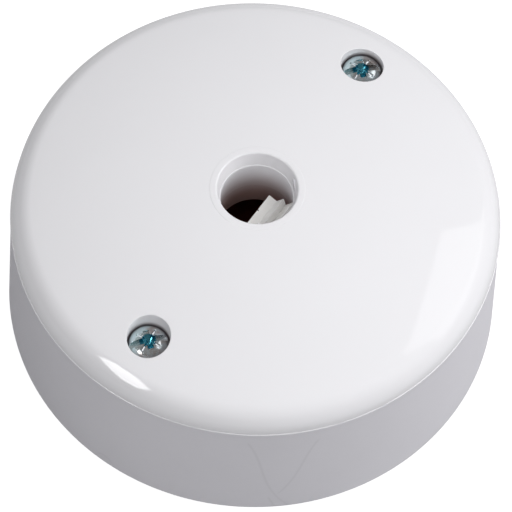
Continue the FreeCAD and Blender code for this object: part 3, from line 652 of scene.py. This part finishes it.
def screw_mesh(scene, centre, slot_turn):
    """A cover screw: a head whose crown, slot, cross and ticks are one height over radius and angle,
    its straight edge, and a threaded shank whose radius falls and rises with height less turn.
    Crown height = edge + rise (1 - (r / R) to the crown's power) to the crown's root."""
    screw, detail = scene.rose_screw, scene.rose_detail
    turn = round_angles(detail.head_rounds)
    head, seat = screw.head_radius, screw.seat
    edge_top = seat + screw.head_edge
    top = edge_top + screw.head_crown
    inner_rows = np.linspace(HEAD_START, HEAD_STOP * head, HEAD_ROWS)
    radius = np.concatenate([[SMALL], inner_rows, head * np.array(HEAD_EDGE_SHARES)])[:, None]
    crown = edge_top + screw.head_crown * (1 - (radius / head) ** CROWN_POWER) ** CROWN_ROOT
    along, aside = radius * np.cos(turn - slot_turn), radius * np.sin(turn - slot_turn)
    far_along, far_aside = np.abs(along), np.abs(aside)

    def trench(distance):
        """1 inside an outline, 0 outside it, with a narrow slope between."""
        return step_up(-distance, -CUT_SLOPE / 2, CUT_SLOPE / 2)

    def cut(height, mask, floor):
        return np.minimum(height, height * (1 - mask) + floor * mask)

    arm, reach = screw.cross_width / 2, screw.cross_length / 2
    slot = trench(far_aside - screw.slot_width / 2)
    cross = np.maximum(
        trench(np.maximum(far_aside - arm, far_along - reach)),
        trench(np.maximum(far_along - arm, far_aside - reach)))
    cross = np.maximum(cross, trench(np.maximum(far_along, far_aside) - CORE_HALF))
    slant = np.minimum(np.abs(along - aside), np.abs(along + aside)) / math.sqrt(2)
    tick = np.clip(1 - slant / TICK_HALF, 0, 1) * step_up(radius, TICK_START, TICK_START + TICK_FADE)
    tick = tick * step_up(-radius, -TICK_END, TICK_FADE - TICK_END)
    height = cut(crown - TICK_DEPTH * tick, slot, top - screw.slot_depth)
    depth_share = np.clip(CROSS_FULL - radius / reach, CROSS_LEAST, 1)
    height = cut(height, cross, top - screw.cross_depth * depth_share)
    head_points = polar(radius, turn, height)
    head_points[0] = (0, 0, float(height[0].min()))
    side = turned(rounded([
        (head, seat + HEAD_SIDE, 0), (head, seat, HEAD_SIDE_ROUND),
        (screw.shank_radius, seat, 0), (SMALL, seat, 0)]), turn)
    side[..., 2] = np.minimum(side[..., 2], head_points[-1, :, 2])

    shank_turn = round_angles(SHANK_COLUMNS)
    low = seat - SCREW_LENGTH
    pitch = screw.thread_pitch
    rows = np.arange(seat - NECK, low + TIP, -pitch / ROWS_PER_THREAD)[:, None]
    phase = (rows / pitch - shank_turn / TURN) % 1
    groove = screw.thread_depth * (1 - np.abs(2 * phase - 1))
    fade = step_up(seat - NECK - rows, 0, NECK_FADE) * step_up(rows - low, TIP, TIP + TIP_FADE)
    body = polar(screw.shank_radius - groove * fade, shank_turn, rows)
    sunk = seat + SHANK_SUNK
    start = turned(np.array([[SMALL, sunk], [screw.shank_radius, sunk]]), shank_turn)
    end = turned(np.array([[screw.shank_radius - TIP_TAPER, low], [SMALL, low]]), shank_turn)
    surface = Surface()
    for points in (np.concatenate([head_points, side]), np.concatenate([start, body, end])):
        points[..., 0] += centre
        surface.grid(*points)
    return surface.mesh("cover_screw_form", sharp=40)


# The toothed jaw

JAW_MERGE = 0.002 * MM
FLAT_ANGLE = 1
MARK_REACH = 0.3 * MM
JAW_BEVEL_STEPS, JAW_BEVEL_ANGLE = 3, 30


def jaw_mesh(grip):
    """The jaw's own solid, merged, with its flat faces whole and its centre mark narrowed, ready for
    rounding."""
    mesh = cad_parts["cord_jaw"].data.copy()
    mesh.name = "toothed_jaw_form"
    mesh.materials.clear()

    def narrow_mark(work):
        flat = math.radians(FLAT_ANGLE)
        bmesh.ops.dissolve_limit(work, angle_limit=flat, verts=work.verts, edges=work.edges)
        for vertex in work.verts:
            if abs(vertex.co.x) < MARK_REACH:
                vertex.co.x *= grip.mark_share

    rework(mesh, JAW_MERGE, narrow_mark, sharp=35)
    return mesh


# Finishes

BLACK, WHITE = (0.0, 0.0, 0.0), (1.0, 1.0, 1.0)
# Sockets of a node that mixes two colours
MIX_SHARE, MIX_FIRST, MIX_SECOND, MIX_RESULT = 0, 6, 7, 2


class Signal:
    """A shader socket that takes part in sums and products."""

    def __init__(self, paint, socket):
        self.paint = paint
        self.socket = socket

    def math(self, operation, *inputs):
        return self.paint.node("ShaderNodeMath", {"operation": operation}, inputs).out()

    def __add__(self, other): return self.math("ADD", self, other)
    def __radd__(self, other): return self.math("ADD", other, self)
    def __sub__(self, other): return self.math("SUBTRACT", self, other)
    def __rsub__(self, other): return self.math("SUBTRACT", other, self)
    def __mul__(self, other): return self.math("MULTIPLY", self, other)
    def __rmul__(self, other): return self.math("MULTIPLY", other, self)
    def __truediv__(self, other): return self.math("DIVIDE", self, other)
    def __pow__(self, other): return self.math("POWER", self, other)
    def __abs__(self): return self.math("ABSOLUTE", self)
    def minimum(self, other): return self.math("MINIMUM", self, other)
    def maximum(self, other): return self.math("MAXIMUM", self, other)

    def ramp(self, low, high):
        """A smooth step from 0 at low to 1 at high."""
        settings = {"interpolation_type": "SMOOTHSTEP", "data_type": "FLOAT"}
        return self.paint.node("ShaderNodeMapRange", settings, [self, low, high]).out()

    def fall(self, low, high):
        """A smooth step from 1 at low to 0 at high."""
        return 1 - self.ramp(low, high)


class Made:
    """A node that was made, giving its outputs as signals."""

    def __init__(self, paint, node):
        self.paint = paint
        self.node = node

    def out(self, name=0):
        return Signal(self.paint, self.node.outputs[name])


class Paint:
    """A material's nodes, made one by one from settings and from values or links of sockets."""

    def __init__(self, name, world=False):
        self.owner = bpy.data.worlds.new(name) if world else bpy.data.materials.new(name)
        self.owner.use_nodes = True
        self.tree = self.owner.node_tree
        self.tree.nodes.clear()
        self.place = self.node("ShaderNodeTexCoord").out("Generated" if world else "Object")

    def node(self, kind, settings=None, values=()):
        """Makes a node of a kind; settings come first, then values by socket number or name."""
        node = self.tree.nodes.new(kind)
        for key, value in (settings or {}).items():
            setattr(node, key, value)
        for key, value in values.items() if isinstance(values, dict) else enumerate(values):
            if isinstance(value, Signal):
                self.tree.links.new(value.socket, node.inputs[key])
            else:
                node.inputs[key].default_value = value
        return Made(self, node)

    def noise(self, scale, detail, rough=0.5):
        values = {"Vector": self.place, "Scale": scale, "Detail": detail, "Roughness": rough}
        return self.node("ShaderNodeTexNoise", {}, values).out("Fac")

    def mix(self, share, first, second):
        """A colour between two colours."""
        settings = {"data_type": "RGBA", "clamp_factor": True}
        values = {MIX_SHARE: share, MIX_FIRST: first, MIX_SECOND: second}
        return self.node("ShaderNodeMix", settings, values).out(MIX_RESULT)

    def mottle(self, share, value, dark, light):
        """A colour between two shades of itself."""
        return self.mix(share, rgba(value, dark), rgba(value, light))

    def axes(self):
        split = self.node("ShaderNodeSeparateXYZ", {}, [self.place])
        return split.out("X"), split.out("Y"), split.out("Z")

    def towards(self, vector):
        """How far the place lies along a vector."""
        settings = {"operation": "DOT_PRODUCT"}
        return self.node("ShaderNodeVectorMath", settings, [self.place, tuple(vector)]).out("Value")

    def bump(self, height, distance, strength):
        values = {"Height": height, "Distance": distance, "Strength": strength}
        return self.node("ShaderNodeBump", {}, values).out("Normal")

    def finish(self, **values):
        """Closes the material with a surface shader whose sockets get these values."""
        named = {key.replace("_", " "): value for key, value in values.items()}
        shader = self.node("ShaderNodeBsdfPrincipled", {}, named)
        self.node("ShaderNodeOutputMaterial", {}, {"Surface": shader.out()})
        return self.owner


def rgba(value, gain=1.0):
    """Red, green, blue and full cover from a colour, made lighter or darker."""
    return tuple(min(1.0, part * gain) for part in value) + (1.0,)


def distance(x, y):
    """The root of x squared and y squared."""
    return (x * x + y * y) ** 0.5


def from_screw(x, y, screw):
    """Place beside the nearer cover screw, outwards, and distance from its axis."""
    aside = abs(x) - screw.offset
    return aside, distance(aside, y)


FINE_BUMP, MOULDED_BUMP = 0.01 * MM, 0.02 * MM
SEAM, SEAM_FADE = 25.2 * MM, 0.2 * MM
# Each noise is a scale, a detail and a roughness; each shade is a share of a colour
COVER_CLOUD, COVER_FINE, COVER_GRAIN = (60.0, 3.0, 0.55), (900.0, 2.0), (2600.0, 3.0, 0.6)
FACE_SHADES, SKIRT_SHADES = (0.985, 1.01), (0.96, 1.03)
FACE_ROUGH, SKIRT_ROUGH, SKIRT_ROUGH_SPAN, HOLE_ROUGH = 0.02, 0.62, 0.08, 0.45
GRAIN_STRENGTH = 0.02
COVER_IOR = 1.5
HOLE_FADE = 0.15 * MM
SLEEVE_SHADE_FADE = (22 * MM, 31 * MM)
RECESS_FADE, RECESS_SHADE_RISE = (0.02 * MM, 0.1 * MM), 1.5 * MM
# Marks on the skirt, at angles in degrees and heights in millimetres
LINE_STRENGTH, LINE_SHADE = 0.22, 0.72
FLOW_WIDTH, FLOW_FADE_LOW, FLOW_FADE_HIGH, FLOW_DEGREE = 0.6, 1.5, 1.0, 3
FLOW_LINES = (
    ((-147.8, 22.7), (-145.5, 18.0), (-143.4, 11.5), (-141.2, 5.4), (-137.3, 0.5)),
    ((-130.7, 22.0), (-133.1, 17.8), (-135.5, 11.8), (-139.1, 5.6)),
    ((-142.3, 4.1), (-141.6, 2.7), (-140.8, 1.0)),
)
DEGREE_MM = 0.7
ARC_ANGLE, ARC_HEIGHT, ARC_RADIUS, ARC_WIDTH, ARC_FADE = 177.4, 0.9, 1.5, 0.3, (1.0, 1.8)


def flow_line(turn, height, points):
    """A thin line on the skirt through angles at heights, as a mask from 0 to 1.
    The angle is a polynomial of the height, of the third degree at most."""
    angles, heights = np.array(points).T
    fit = np.polyfit(heights, angles, min(FLOW_DEGREE, len(points) - 1))
    curve = float(fit[0])
    for term in fit[1:]:
        curve = height * curve + float(term)
    low, high = heights.min(), heights.max()
    span = height.ramp(low - FLOW_FADE_LOW, low) * height.fall(high - FLOW_FADE_HIGH, high)
    return abs(turn - curve).fall(0, FLOW_WIDTH) * span


def cover_finish(look, size, screw):
    """Glossy white moulding above the seam and a duller skirt below it, with faint flow lines, and painted
    shade deep in the cord hole and at the foot of the screw recesses.
    """
    paint = Paint("cover_white_moulding")
    x, y, z = paint.axes()
    below = z.fall(SEAM - SEAM_FADE, SEAM)
    turn = y.math("ARCTAN2", y, x) * math.degrees(1)
    height = z / MM
    from_arc = distance((turn - ARC_ANGLE) * DEGREE_MM, height - ARC_HEIGHT)
    lines = abs(from_arc - ARC_RADIUS).fall(0, ARC_WIDTH) * height.ramp(*ARC_FADE)
    for points in FLOW_LINES:
        lines = lines.maximum(flow_line(turn, height, points))
    cloud = paint.noise(*COVER_CLOUD)
    face = paint.mottle(cloud, look.cover, *FACE_SHADES)
    skirt = paint.mottle(cloud, look.skirt, *SKIRT_SHADES)
    base = paint.mix(below, face, skirt)
    base = paint.mix(lines * below * LINE_STRENGTH, base, rgba(look.skirt, LINE_SHADE))
    in_hole = distance(x, y).fall(size.mouth_radius, size.mouth_radius + HOLE_FADE)
    # Painted shade: deep in the cord hole the colour darkens to brownish grey with depth
    base = paint.mix(in_hole * z.fall(*SLEEVE_SHADE_FADE), base, rgba(look.sleeve))
    in_recess = from_screw(x, y, screw)[1].fall(*(screw.recess_radius + fade for fade in RECESS_FADE))
    # Painted shade at the foot of each screw recess, fading out upwards from the seat
    dark = in_recess * z.fall(screw.seat, screw.seat + RECESS_SHADE_RISE)
    base = paint.mix(dark, base, rgba(look.recess))
    rough = FACE_ROUGH + FACE_ROUGH * paint.noise(*COVER_FINE)
    rough = rough + below * (SKIRT_ROUGH + SKIRT_ROUGH_SPAN * cloud)
    rough = rough + HOLE_ROUGH * in_hole.maximum(in_recess)
    grain = paint.bump(paint.noise(*COVER_GRAIN), FINE_BUMP, GRAIN_STRENGTH)
    return paint.finish(Base_Color=base, Roughness=rough, Normal=grain, IOR=COVER_IOR)


def moulded_finish(name, value, cloud, shades, rough, grain, strength):
    """Plain moulding, mottled between two shades, with a fine grain.
    The roughness is a least value and a span."""
    paint = Paint(name)
    share = paint.noise(*cloud)
    base = paint.mottle(share, value, *shades)
    normal = paint.bump(paint.noise(*grain), MOULDED_BUMP, strength)
    return paint.finish(Base_Color=base, Roughness=rough[0] + rough[1] * share, Normal=normal)


def jaw_finish(look):
    """White nylon, slightly mottled."""
    return moulded_finish(
        "jaw_white_nylon", look.jaw, cloud=(500.0, 3.0), shades=(0.94, 1.04), rough=(0.38, 0.1),
        grain=(4000.0, 2.0), strength=0.3)


def base_finish(look):
    """Dark brown pressed moulding with a fine mottle."""
    return moulded_finish(
        "base_dark_moulding", look.base, cloud=(700.0, 4.0, 0.6), shades=(0.6, 1.5), rough=(0.36, 0.14),
        grain=(3000.0, 2.0), strength=0.4)


METAL_BLOTCH, METAL_FINE, METAL_EDGES = (450.0, 4.0, 0.65), (6000.0, 2.0), (0.35, 0.7)
BLOTCH_ROUGH, FINE_ROUGH, STREAK = 0.18, 0.06, 0.5
ZINC_BLOTCH, ZINC_GRAIN, ZINC_EDGES = (420.0, 4.0, 0.65), (5000.0, 2.0), (0.42, 0.62)
ZINC_ROUGH, ZINC_ROUGH_SPAN, ZINC_GRAIN_STRENGTH = 0.10, 0.12, 0.2
MIDDLE_FADE = 1.0 * MM
CROSS_REACH, CROSS_DEEP, CROSS_SHALLOW = (1.2 * MM, 1.5 * MM), 0.45 * MM, 0.1 * MM
FAR_LEAN, FAR_FADE, FAR_LEAST, FAR_SPAN = 0.25, (0.2 * MM, 1.8 * MM), 0.5, 0.4
GLINT_WIDTH, GLINT_START, GLINT_END = (0.05 * MM, 0.13 * MM), (1.2 * MM, 1.35 * MM), (1.95 * MM, 2.1 * MM)


def metal_finish(name, metal, tint, rough):
    """Machined metal: a blotchy tint and fine turned streaks."""
    paint = Paint(name)
    blotch = paint.noise(*METAL_BLOTCH)
    fine = paint.noise(*METAL_FINE)
    base = paint.mix(blotch.ramp(*METAL_EDGES), rgba(metal), rgba(tint))
    grain = paint.bump(fine, FINE_BUMP, STREAK)
    roughness = rough + BLOTCH_ROUGH * (blotch - 0.5) + FINE_ROUGH * fine
    return paint.finish(Base_Color=base, Metallic=1.0, Roughness=roughness, Normal=grain)


def zinc_finish(look, screw):
    """Zinc plate with a blue passivation, deep blue-green inside the cross, blotchy elsewhere, with a
    painted pale reflection at the heads' far side and painted glints along the ticks."""
    paint = Paint("zinc_blue_plate")
    x, y, z = paint.axes()
    top = screw.seat + screw.head_edge + screw.head_crown
    aside, away = from_screw(x, y, screw)
    on_right = x.ramp(-MIDDLE_FADE, MIDDLE_FADE)
    blotch = paint.noise(*ZINC_BLOTCH)
    base = paint.mix(blotch.ramp(*ZINC_EDGES), rgba(look.zinc), rgba(look.zinc_warm))
    # Painted reflection: the far side of each head is mixed towards pale blue
    across = x + screw.offset * (1 - 2 * on_right)
    far = (y - FAR_LEAN * across).ramp(*FAR_FADE)
    base = paint.mix(far * (FAR_LEAST + FAR_SPAN * blotch), base, rgba(look.zinc_painted_reflection))
    cross = away.fall(*CROSS_REACH) * z.fall(top - CROSS_DEEP, top - CROSS_SHALLOW)
    base = paint.mix(cross, base, rgba(look.teal))
    # Painted highlight: thin white, non-metal lines along the ticks, standing in for glints
    lean = (1 - on_right) * math.tan(screw.turn_left - screw.turn_right)
    line = abs(y + aside * lean).minimum(abs(aside - y * lean))
    painted_glint = line.fall(*GLINT_WIDTH) * away.ramp(*GLINT_START) * away.fall(*GLINT_END)
    base = paint.mix(painted_glint, base, rgba(look.painted_glint))
    grain = paint.bump(paint.noise(*ZINC_GRAIN), FINE_BUMP, ZINC_GRAIN_STRENGTH)
    rough = ZINC_ROUGH + ZINC_ROUGH_SPAN * blotch
    return paint.finish(Base_Color=base, Metallic=1 - painted_glint, Roughness=rough, Normal=grain)


FLOOR_CLOUD, FLOOR_SHADES, FLOOR_ROUGH = (3.0, 2.0), (0.995, 1.0), 0.9
FLOOR_PAINTED_SHADOW = (34 * MM, 39 * MM)
FLOOR_GLOW, FLOOR_REFLECTED = 0.90, 0.45


def floor_finish(look):
    """Grey floor that shows white to the camera and, less so, in reflections. Under the rose itself the glow
    is cut away, a painted shadow where the rose covers the floor."""
    paint = Paint("pale_floor")
    x, y = paint.axes()[:2]
    # Painted shadow: the white glow is cut away within this radius under the rose
    outside = distance(x, y).ramp(*FLOOR_PAINTED_SHADOW)
    base = paint.mottle(paint.noise(*FLOOR_CLOUD), look.floor, *FLOOR_SHADES)
    rays = paint.node("ShaderNodeLightPath")
    seen = rays.out("Is Camera Ray").maximum(rays.out("Is Transmission Ray"))
    seen = seen.maximum(rays.out("Is Glossy Ray") * FLOOR_REFLECTED)
    glow = paint.mix(seen * outside, rgba(BLACK), rgba(WHITE, FLOOR_GLOW))
    return paint.finish(Base_Color=base, Roughness=FLOOR_ROUGH, Emission_Color=glow, Emission_Strength=1.0)


# Putting pieces in place

def need(condition, message):
    """Stops the script when a piece could not be made."""
    if not condition:
        raise RuntimeError(message)


def piece(name, mesh, body, slot, nodes, material):
    """Makes an object at the origin that rides a body, stands for CAD nodes and wears a finish."""
    need(len(mesh.polygons), name + " has no faces")
    obj = bpy.data.objects.new(name, mesh)
    bpy.context.scene.collection.objects.link(obj)
    mesh.materials.append(material)
    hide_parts(*nodes)
    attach(obj, body)
    return obj


def dress(names, material):
    """Puts a finish in every material slot of the CAD nodes."""
    for name in names:
        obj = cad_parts[name]
        if not obj.material_slots:
            obj.data.materials.append(material)
        for place in obj.material_slots:
            place.material = material


class ROSE_OT_cover(bpy.types.Operator):
    """Moulds the cover with its cord hole, screw recesses, grip channel and seam"""
    bl_idname = "rose.cover"
    bl_label = "Cover"

    def execute(self, context):
        scene = context.scene
        material = cover_finish(scene.rose_finish, scene.rose_cover, scene.rose_screw)
        piece("cover_shell", cover_mesh(scene), "housing", "cover_white", ["cover"], material)
        return {"FINISHED"}


class ROSE_OT_screws(bpy.types.Operator):
    """Forms the two plated cover screws with their slotted and crossed heads"""
    bl_idname = "rose.screws"
    bl_label = "Cover screws"

    def execute(self, context):
        scene = context.scene
        screw = scene.rose_screw
        material = zinc_finish(scene.rose_finish, screw)
        for side, sign, turn in (("right", 1, screw.turn_right), ("left", -1, screw.turn_left)):
            node = "cover_screw_" + side
            mesh = screw_mesh(scene, sign * screw.offset, turn)
            piece("plated_screw_" + side, mesh, node, "zinc", [node], material)
        return {"FINISHED"}


class ROSE_OT_jaw(bpy.types.Operator):
    """Rounds the edges of the toothed jaw in the cord hole"""
    bl_idname = "rose.jaw"
    bl_label = "Toothed jaw"

    def execute(self, context):
        scene = context.scene
        grip = scene.rose_grip
        material = jaw_finish(scene.rose_finish)
        obj = piece("toothed_jaw", jaw_mesh(grip), "cord_jaw", "jaw_white", ["cord_jaw"], material)
        bevel = obj.modifiers.new("rounding", "BEVEL")
        bevel.width = grip.jaw_round
        bevel.segments = JAW_BEVEL_STEPS
        bevel.limit_method = "ANGLE"
        bevel.angle_limit = math.radians(JAW_BEVEL_ANGLE)
        bevel.use_clamp_overlap = True
        return {"FINISHED"}


class ROSE_OT_works(bpy.types.Operator):
    """Finishes the base, terminals, inserts, rings, nut and inner screws"""
    bl_idname = "rose.works"
    bl_label = "Base and terminals"

    def execute(self, context):
        look = context.scene.rose_finish
        names = [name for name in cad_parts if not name.startswith("cover") and name != "cord_jaw"]
        rings = [name for name in names if name.startswith("screw_ring")]
        screws = [name for name in names if "_screw_" in name or name == "grip_screw"]
        brass = [name for name in names if name.endswith("_block") or "insert" in name or name == "grip_nut"]
        left = set(names) - set(rings) - set(screws) - set(brass) - {"base"}
        need(not left, "no finish for " + ", ".join(sorted(left)))
        dress(["base"], base_finish(look))
        dress(rings, jaw_finish(look))
        dress(screws, metal_finish("steel_plated", look.steel, look.steel_dark, rough=0.34))
        dress(brass, metal_finish("brass_machined", look.brass, look.brass_dark, rough=0.30))
        return {"FINISHED"}


# The stage

# Lamps are an azimuth and elevation in degrees, a width and a height in metres
KEY_LAMP, FRONT_LAMP = (-50, 39, 0.6, 0.7), (-149, 48, 0.8, 0.8)
LAMP_DISTANCE = 0.9
# Lobes of the room's light: azimuth, elevation, power of the cosine, strength
ROOM_LOBES = (
    (80, 28, 8, 0.25),
    (-30, 10, 10, 0.35),
)
# Windows of the room: azimuth and elevation of each corner, softness, strength
ROOM_WINDOWS = (
    (((-12.6, 52.6), (-45, 66.9), (-70.3, 22.5), (-18.5, 35.3)), 0.002, 1.3),
    (((148, 40), (144.5, 59), (157, 58), (173, 39), (171, 23), (164, 21)), 0.02, 8.2),
)
REFLECTION_LOSS = 0.4
FLOOR_DROP = 0.05 * MM
SENSOR_WIDTH = 36.0
CLIP_START, CLIP_END = 0.01, 20.0


def direction(azimuth, elevation):
    """Unit vector towards an azimuth and elevation in degrees."""
    turn, rise = math.radians(azimuth), math.radians(elevation)
    return Vector((math.cos(turn) * math.cos(rise), math.sin(turn) * math.cos(rise), math.sin(rise)))


def lamp(name, azimuth, elevation, wide, high, power):
    """A soft rectangular light that faces the middle of the rose. Reflections show the room's windows
    instead of it."""
    data = bpy.data.lights.new(name, "AREA")
    data.shape = "RECTANGLE"
    data.size = wide
    data.size_y = high
    data.energy = power
    obj = bpy.data.objects.new(name, data)
    obj.visible_glossy = False
    bpy.context.scene.collection.objects.link(obj)
    towards = direction(azimuth, elevation)
    aim = towards.to_track_quat("Z", "Y").to_matrix().to_4x4()
    obj.matrix_world = Matrix.Translation(towards * LAMP_DISTANCE) @ aim


def lobe(paint, azimuth, elevation, power):
    """Light round a direction: the cosine to it raised to a power."""
    return paint.towards(direction(azimuth, elevation)).maximum(0.0) ** power


def window(paint, corners, soft):
    """Light inside a flat-sided window in the sky: the product of soft steps across the planes
    through the middle of the rose and two neighbouring corners."""
    spots = [direction(*corner) for corner in corners]
    middle = sum(spots, Vector())
    mask = 1.0
    for first, second in zip(spots, spots[1:] + spots[:1]):
        side = first.cross(second).normalized()
        if side.dot(middle) < 0:
            side = -side
        mask = mask * paint.towards(side).ramp(-soft, soft)
    return mask


def room_light(stage, look):
    """Soft light from all round, made of lobes and windows. Only reflections see the windows, and they
    see the even light a little darker. The camera sees plain white."""
    paint = Paint("room", world=True)
    rays = paint.node("ShaderNodeLightPath")
    reflected = rays.out("Is Glossy Ray")
    above = lobe(paint, azimuth=0, elevation=90, power=1)
    total = (stage.room + stage.ceiling * above) * (1 - REFLECTION_LOSS * reflected)
    for azimuth, elevation, power, strength in ROOM_LOBES:
        total = total + strength * lobe(paint, azimuth, elevation, power)
    for corners, soft, strength in ROOM_WINDOWS:
        total = total + reflected * (strength * window(paint, corners, soft))
    light = paint.node("ShaderNodeBackground", {}, {"Color": rgba(look.room), "Strength": total})
    white = paint.node("ShaderNodeBackground", {}, {"Color": rgba(WHITE), "Strength": 1.0})
    seen = rays.out("Is Camera Ray").maximum(rays.out("Is Transmission Ray"))
    mix = paint.node("ShaderNodeMixShader", {}, [seen, light.out(), white.out()])
    paint.node("ShaderNodeOutputWorld", {}, {"Surface": mix.out()})
    return paint.owner


def floor_mesh(side):
    """A square just below the rose's foot."""
    half = side / 2
    mesh = bpy.data.meshes.new("floor")
    corners = [(x, y, -FLOOR_DROP) for x, y in ((-half, -half), (half, -half), (half, half), (-half, half))]
    mesh.from_pydata(corners, [], [(0, 1, 2, 3)])
    return mesh


def camera_place(stage):
    """The camera's matrix: it looks down at the target from a distance, turned about its line of sight."""
    turn, dip, roll = stage.azimuth, stage.elevation, stage.roll
    forward = Vector((math.cos(turn) * math.cos(dip), math.sin(turn) * math.cos(dip), -math.sin(dip)))
    level = Vector((math.sin(turn), -math.cos(turn), 0.0))
    upright = level.cross(forward)
    side = math.cos(roll) * level + math.sin(roll) * upright
    above = math.cos(roll) * upright - math.sin(roll) * level
    aim = Matrix((side, above, -forward)).transposed().to_4x4()
    target = Vector((stage.target_x, stage.target_y, stage.target_z))
    return Matrix.Translation(target - stage.distance * forward) @ aim


class ROSE_OT_stage(bpy.types.Operator):
    """Sets the floor, the soft lights and the camera"""
    bl_idname = "rose.stage"
    bl_label = "Stage"

    def execute(self, context):
        scene = context.scene
        stage = scene.rose_stage
        mesh = floor_mesh(stage.floor_size)
        mesh.materials.append(floor_finish(scene.rose_finish))
        obj = bpy.data.objects.new("floor", mesh)
        scene.collection.objects.link(obj)

        scene.world = room_light(stage, scene.rose_finish)
        lamp("key_light", *KEY_LAMP, stage.key)
        lamp("front_light", *FRONT_LAMP, stage.front)

        camera = bpy.data.objects.new("camera", bpy.data.cameras.new("camera"))
        scene.collection.objects.link(camera)
        camera.data.sensor_width = SENSOR_WIDTH
        camera.data.lens = stage.lens
        camera.data.clip_start = CLIP_START
        camera.data.clip_end = CLIP_END
        camera.matrix_world = camera_place(stage)
        scene.camera = camera
        scene.view_settings.view_transform = "Standard"
        return {"FINISHED"}


class ROSE_PT_panel(bpy.types.Panel):
    """Lists the pieces of the ceiling rose"""
    bl_idname = "ROSE_PT_panel"
    bl_label = "Ceiling rose"
    bl_space_type = "VIEW_3D"
    bl_region_type = "UI"
    bl_category = "Ceiling rose"

    def draw(self, context):
        for step in OPERATORS:
            self.layout.operator(step.bl_idname)
        for group in GROUPS:
            settings = getattr(context.scene, group)
            box = self.layout.box()
            for name in settings.bl_rna.properties.keys():
                if name not in ("rna_type", "name"):
                    box.prop(settings, name)


GROUPS = {
    "rose_cover": CoverSizes,
    "rose_screw": ScrewSizes,
    "rose_grip": GripSizes,
    "rose_finish": Finishes,
    "rose_stage": StageSizes,
    "rose_detail": Detail,
}
OPERATORS = (ROSE_OT_cover, ROSE_OT_screws, ROSE_OT_jaw, ROSE_OT_works, ROSE_OT_stage)


def register():
    """Makes the sizes, operators and panel known."""
    for name, group in GROUPS.items():
        bpy.utils.register_class(group)
        setattr(bpy.types.Scene, name, PointerProperty(type=group))
    for kind in OPERATORS + (ROSE_PT_panel,):
        bpy.utils.register_class(kind)


def unregister():
    """Takes them away again."""
    for kind in (ROSE_PT_panel,) + OPERATORS[::-1]:
        bpy.utils.unregister_class(kind)
    for name, group in GROUPS.items():
        delattr(bpy.types.Scene, name)
        bpy.utils.unregister_class(group)


def main():
    """Builds every piece and the stage."""
    register()
    for step in OPERATORS:
        group, call = step.bl_idname.split(".")
        getattr(getattr(bpy.ops, group), call)()


if __name__ == "__main__":
    main()
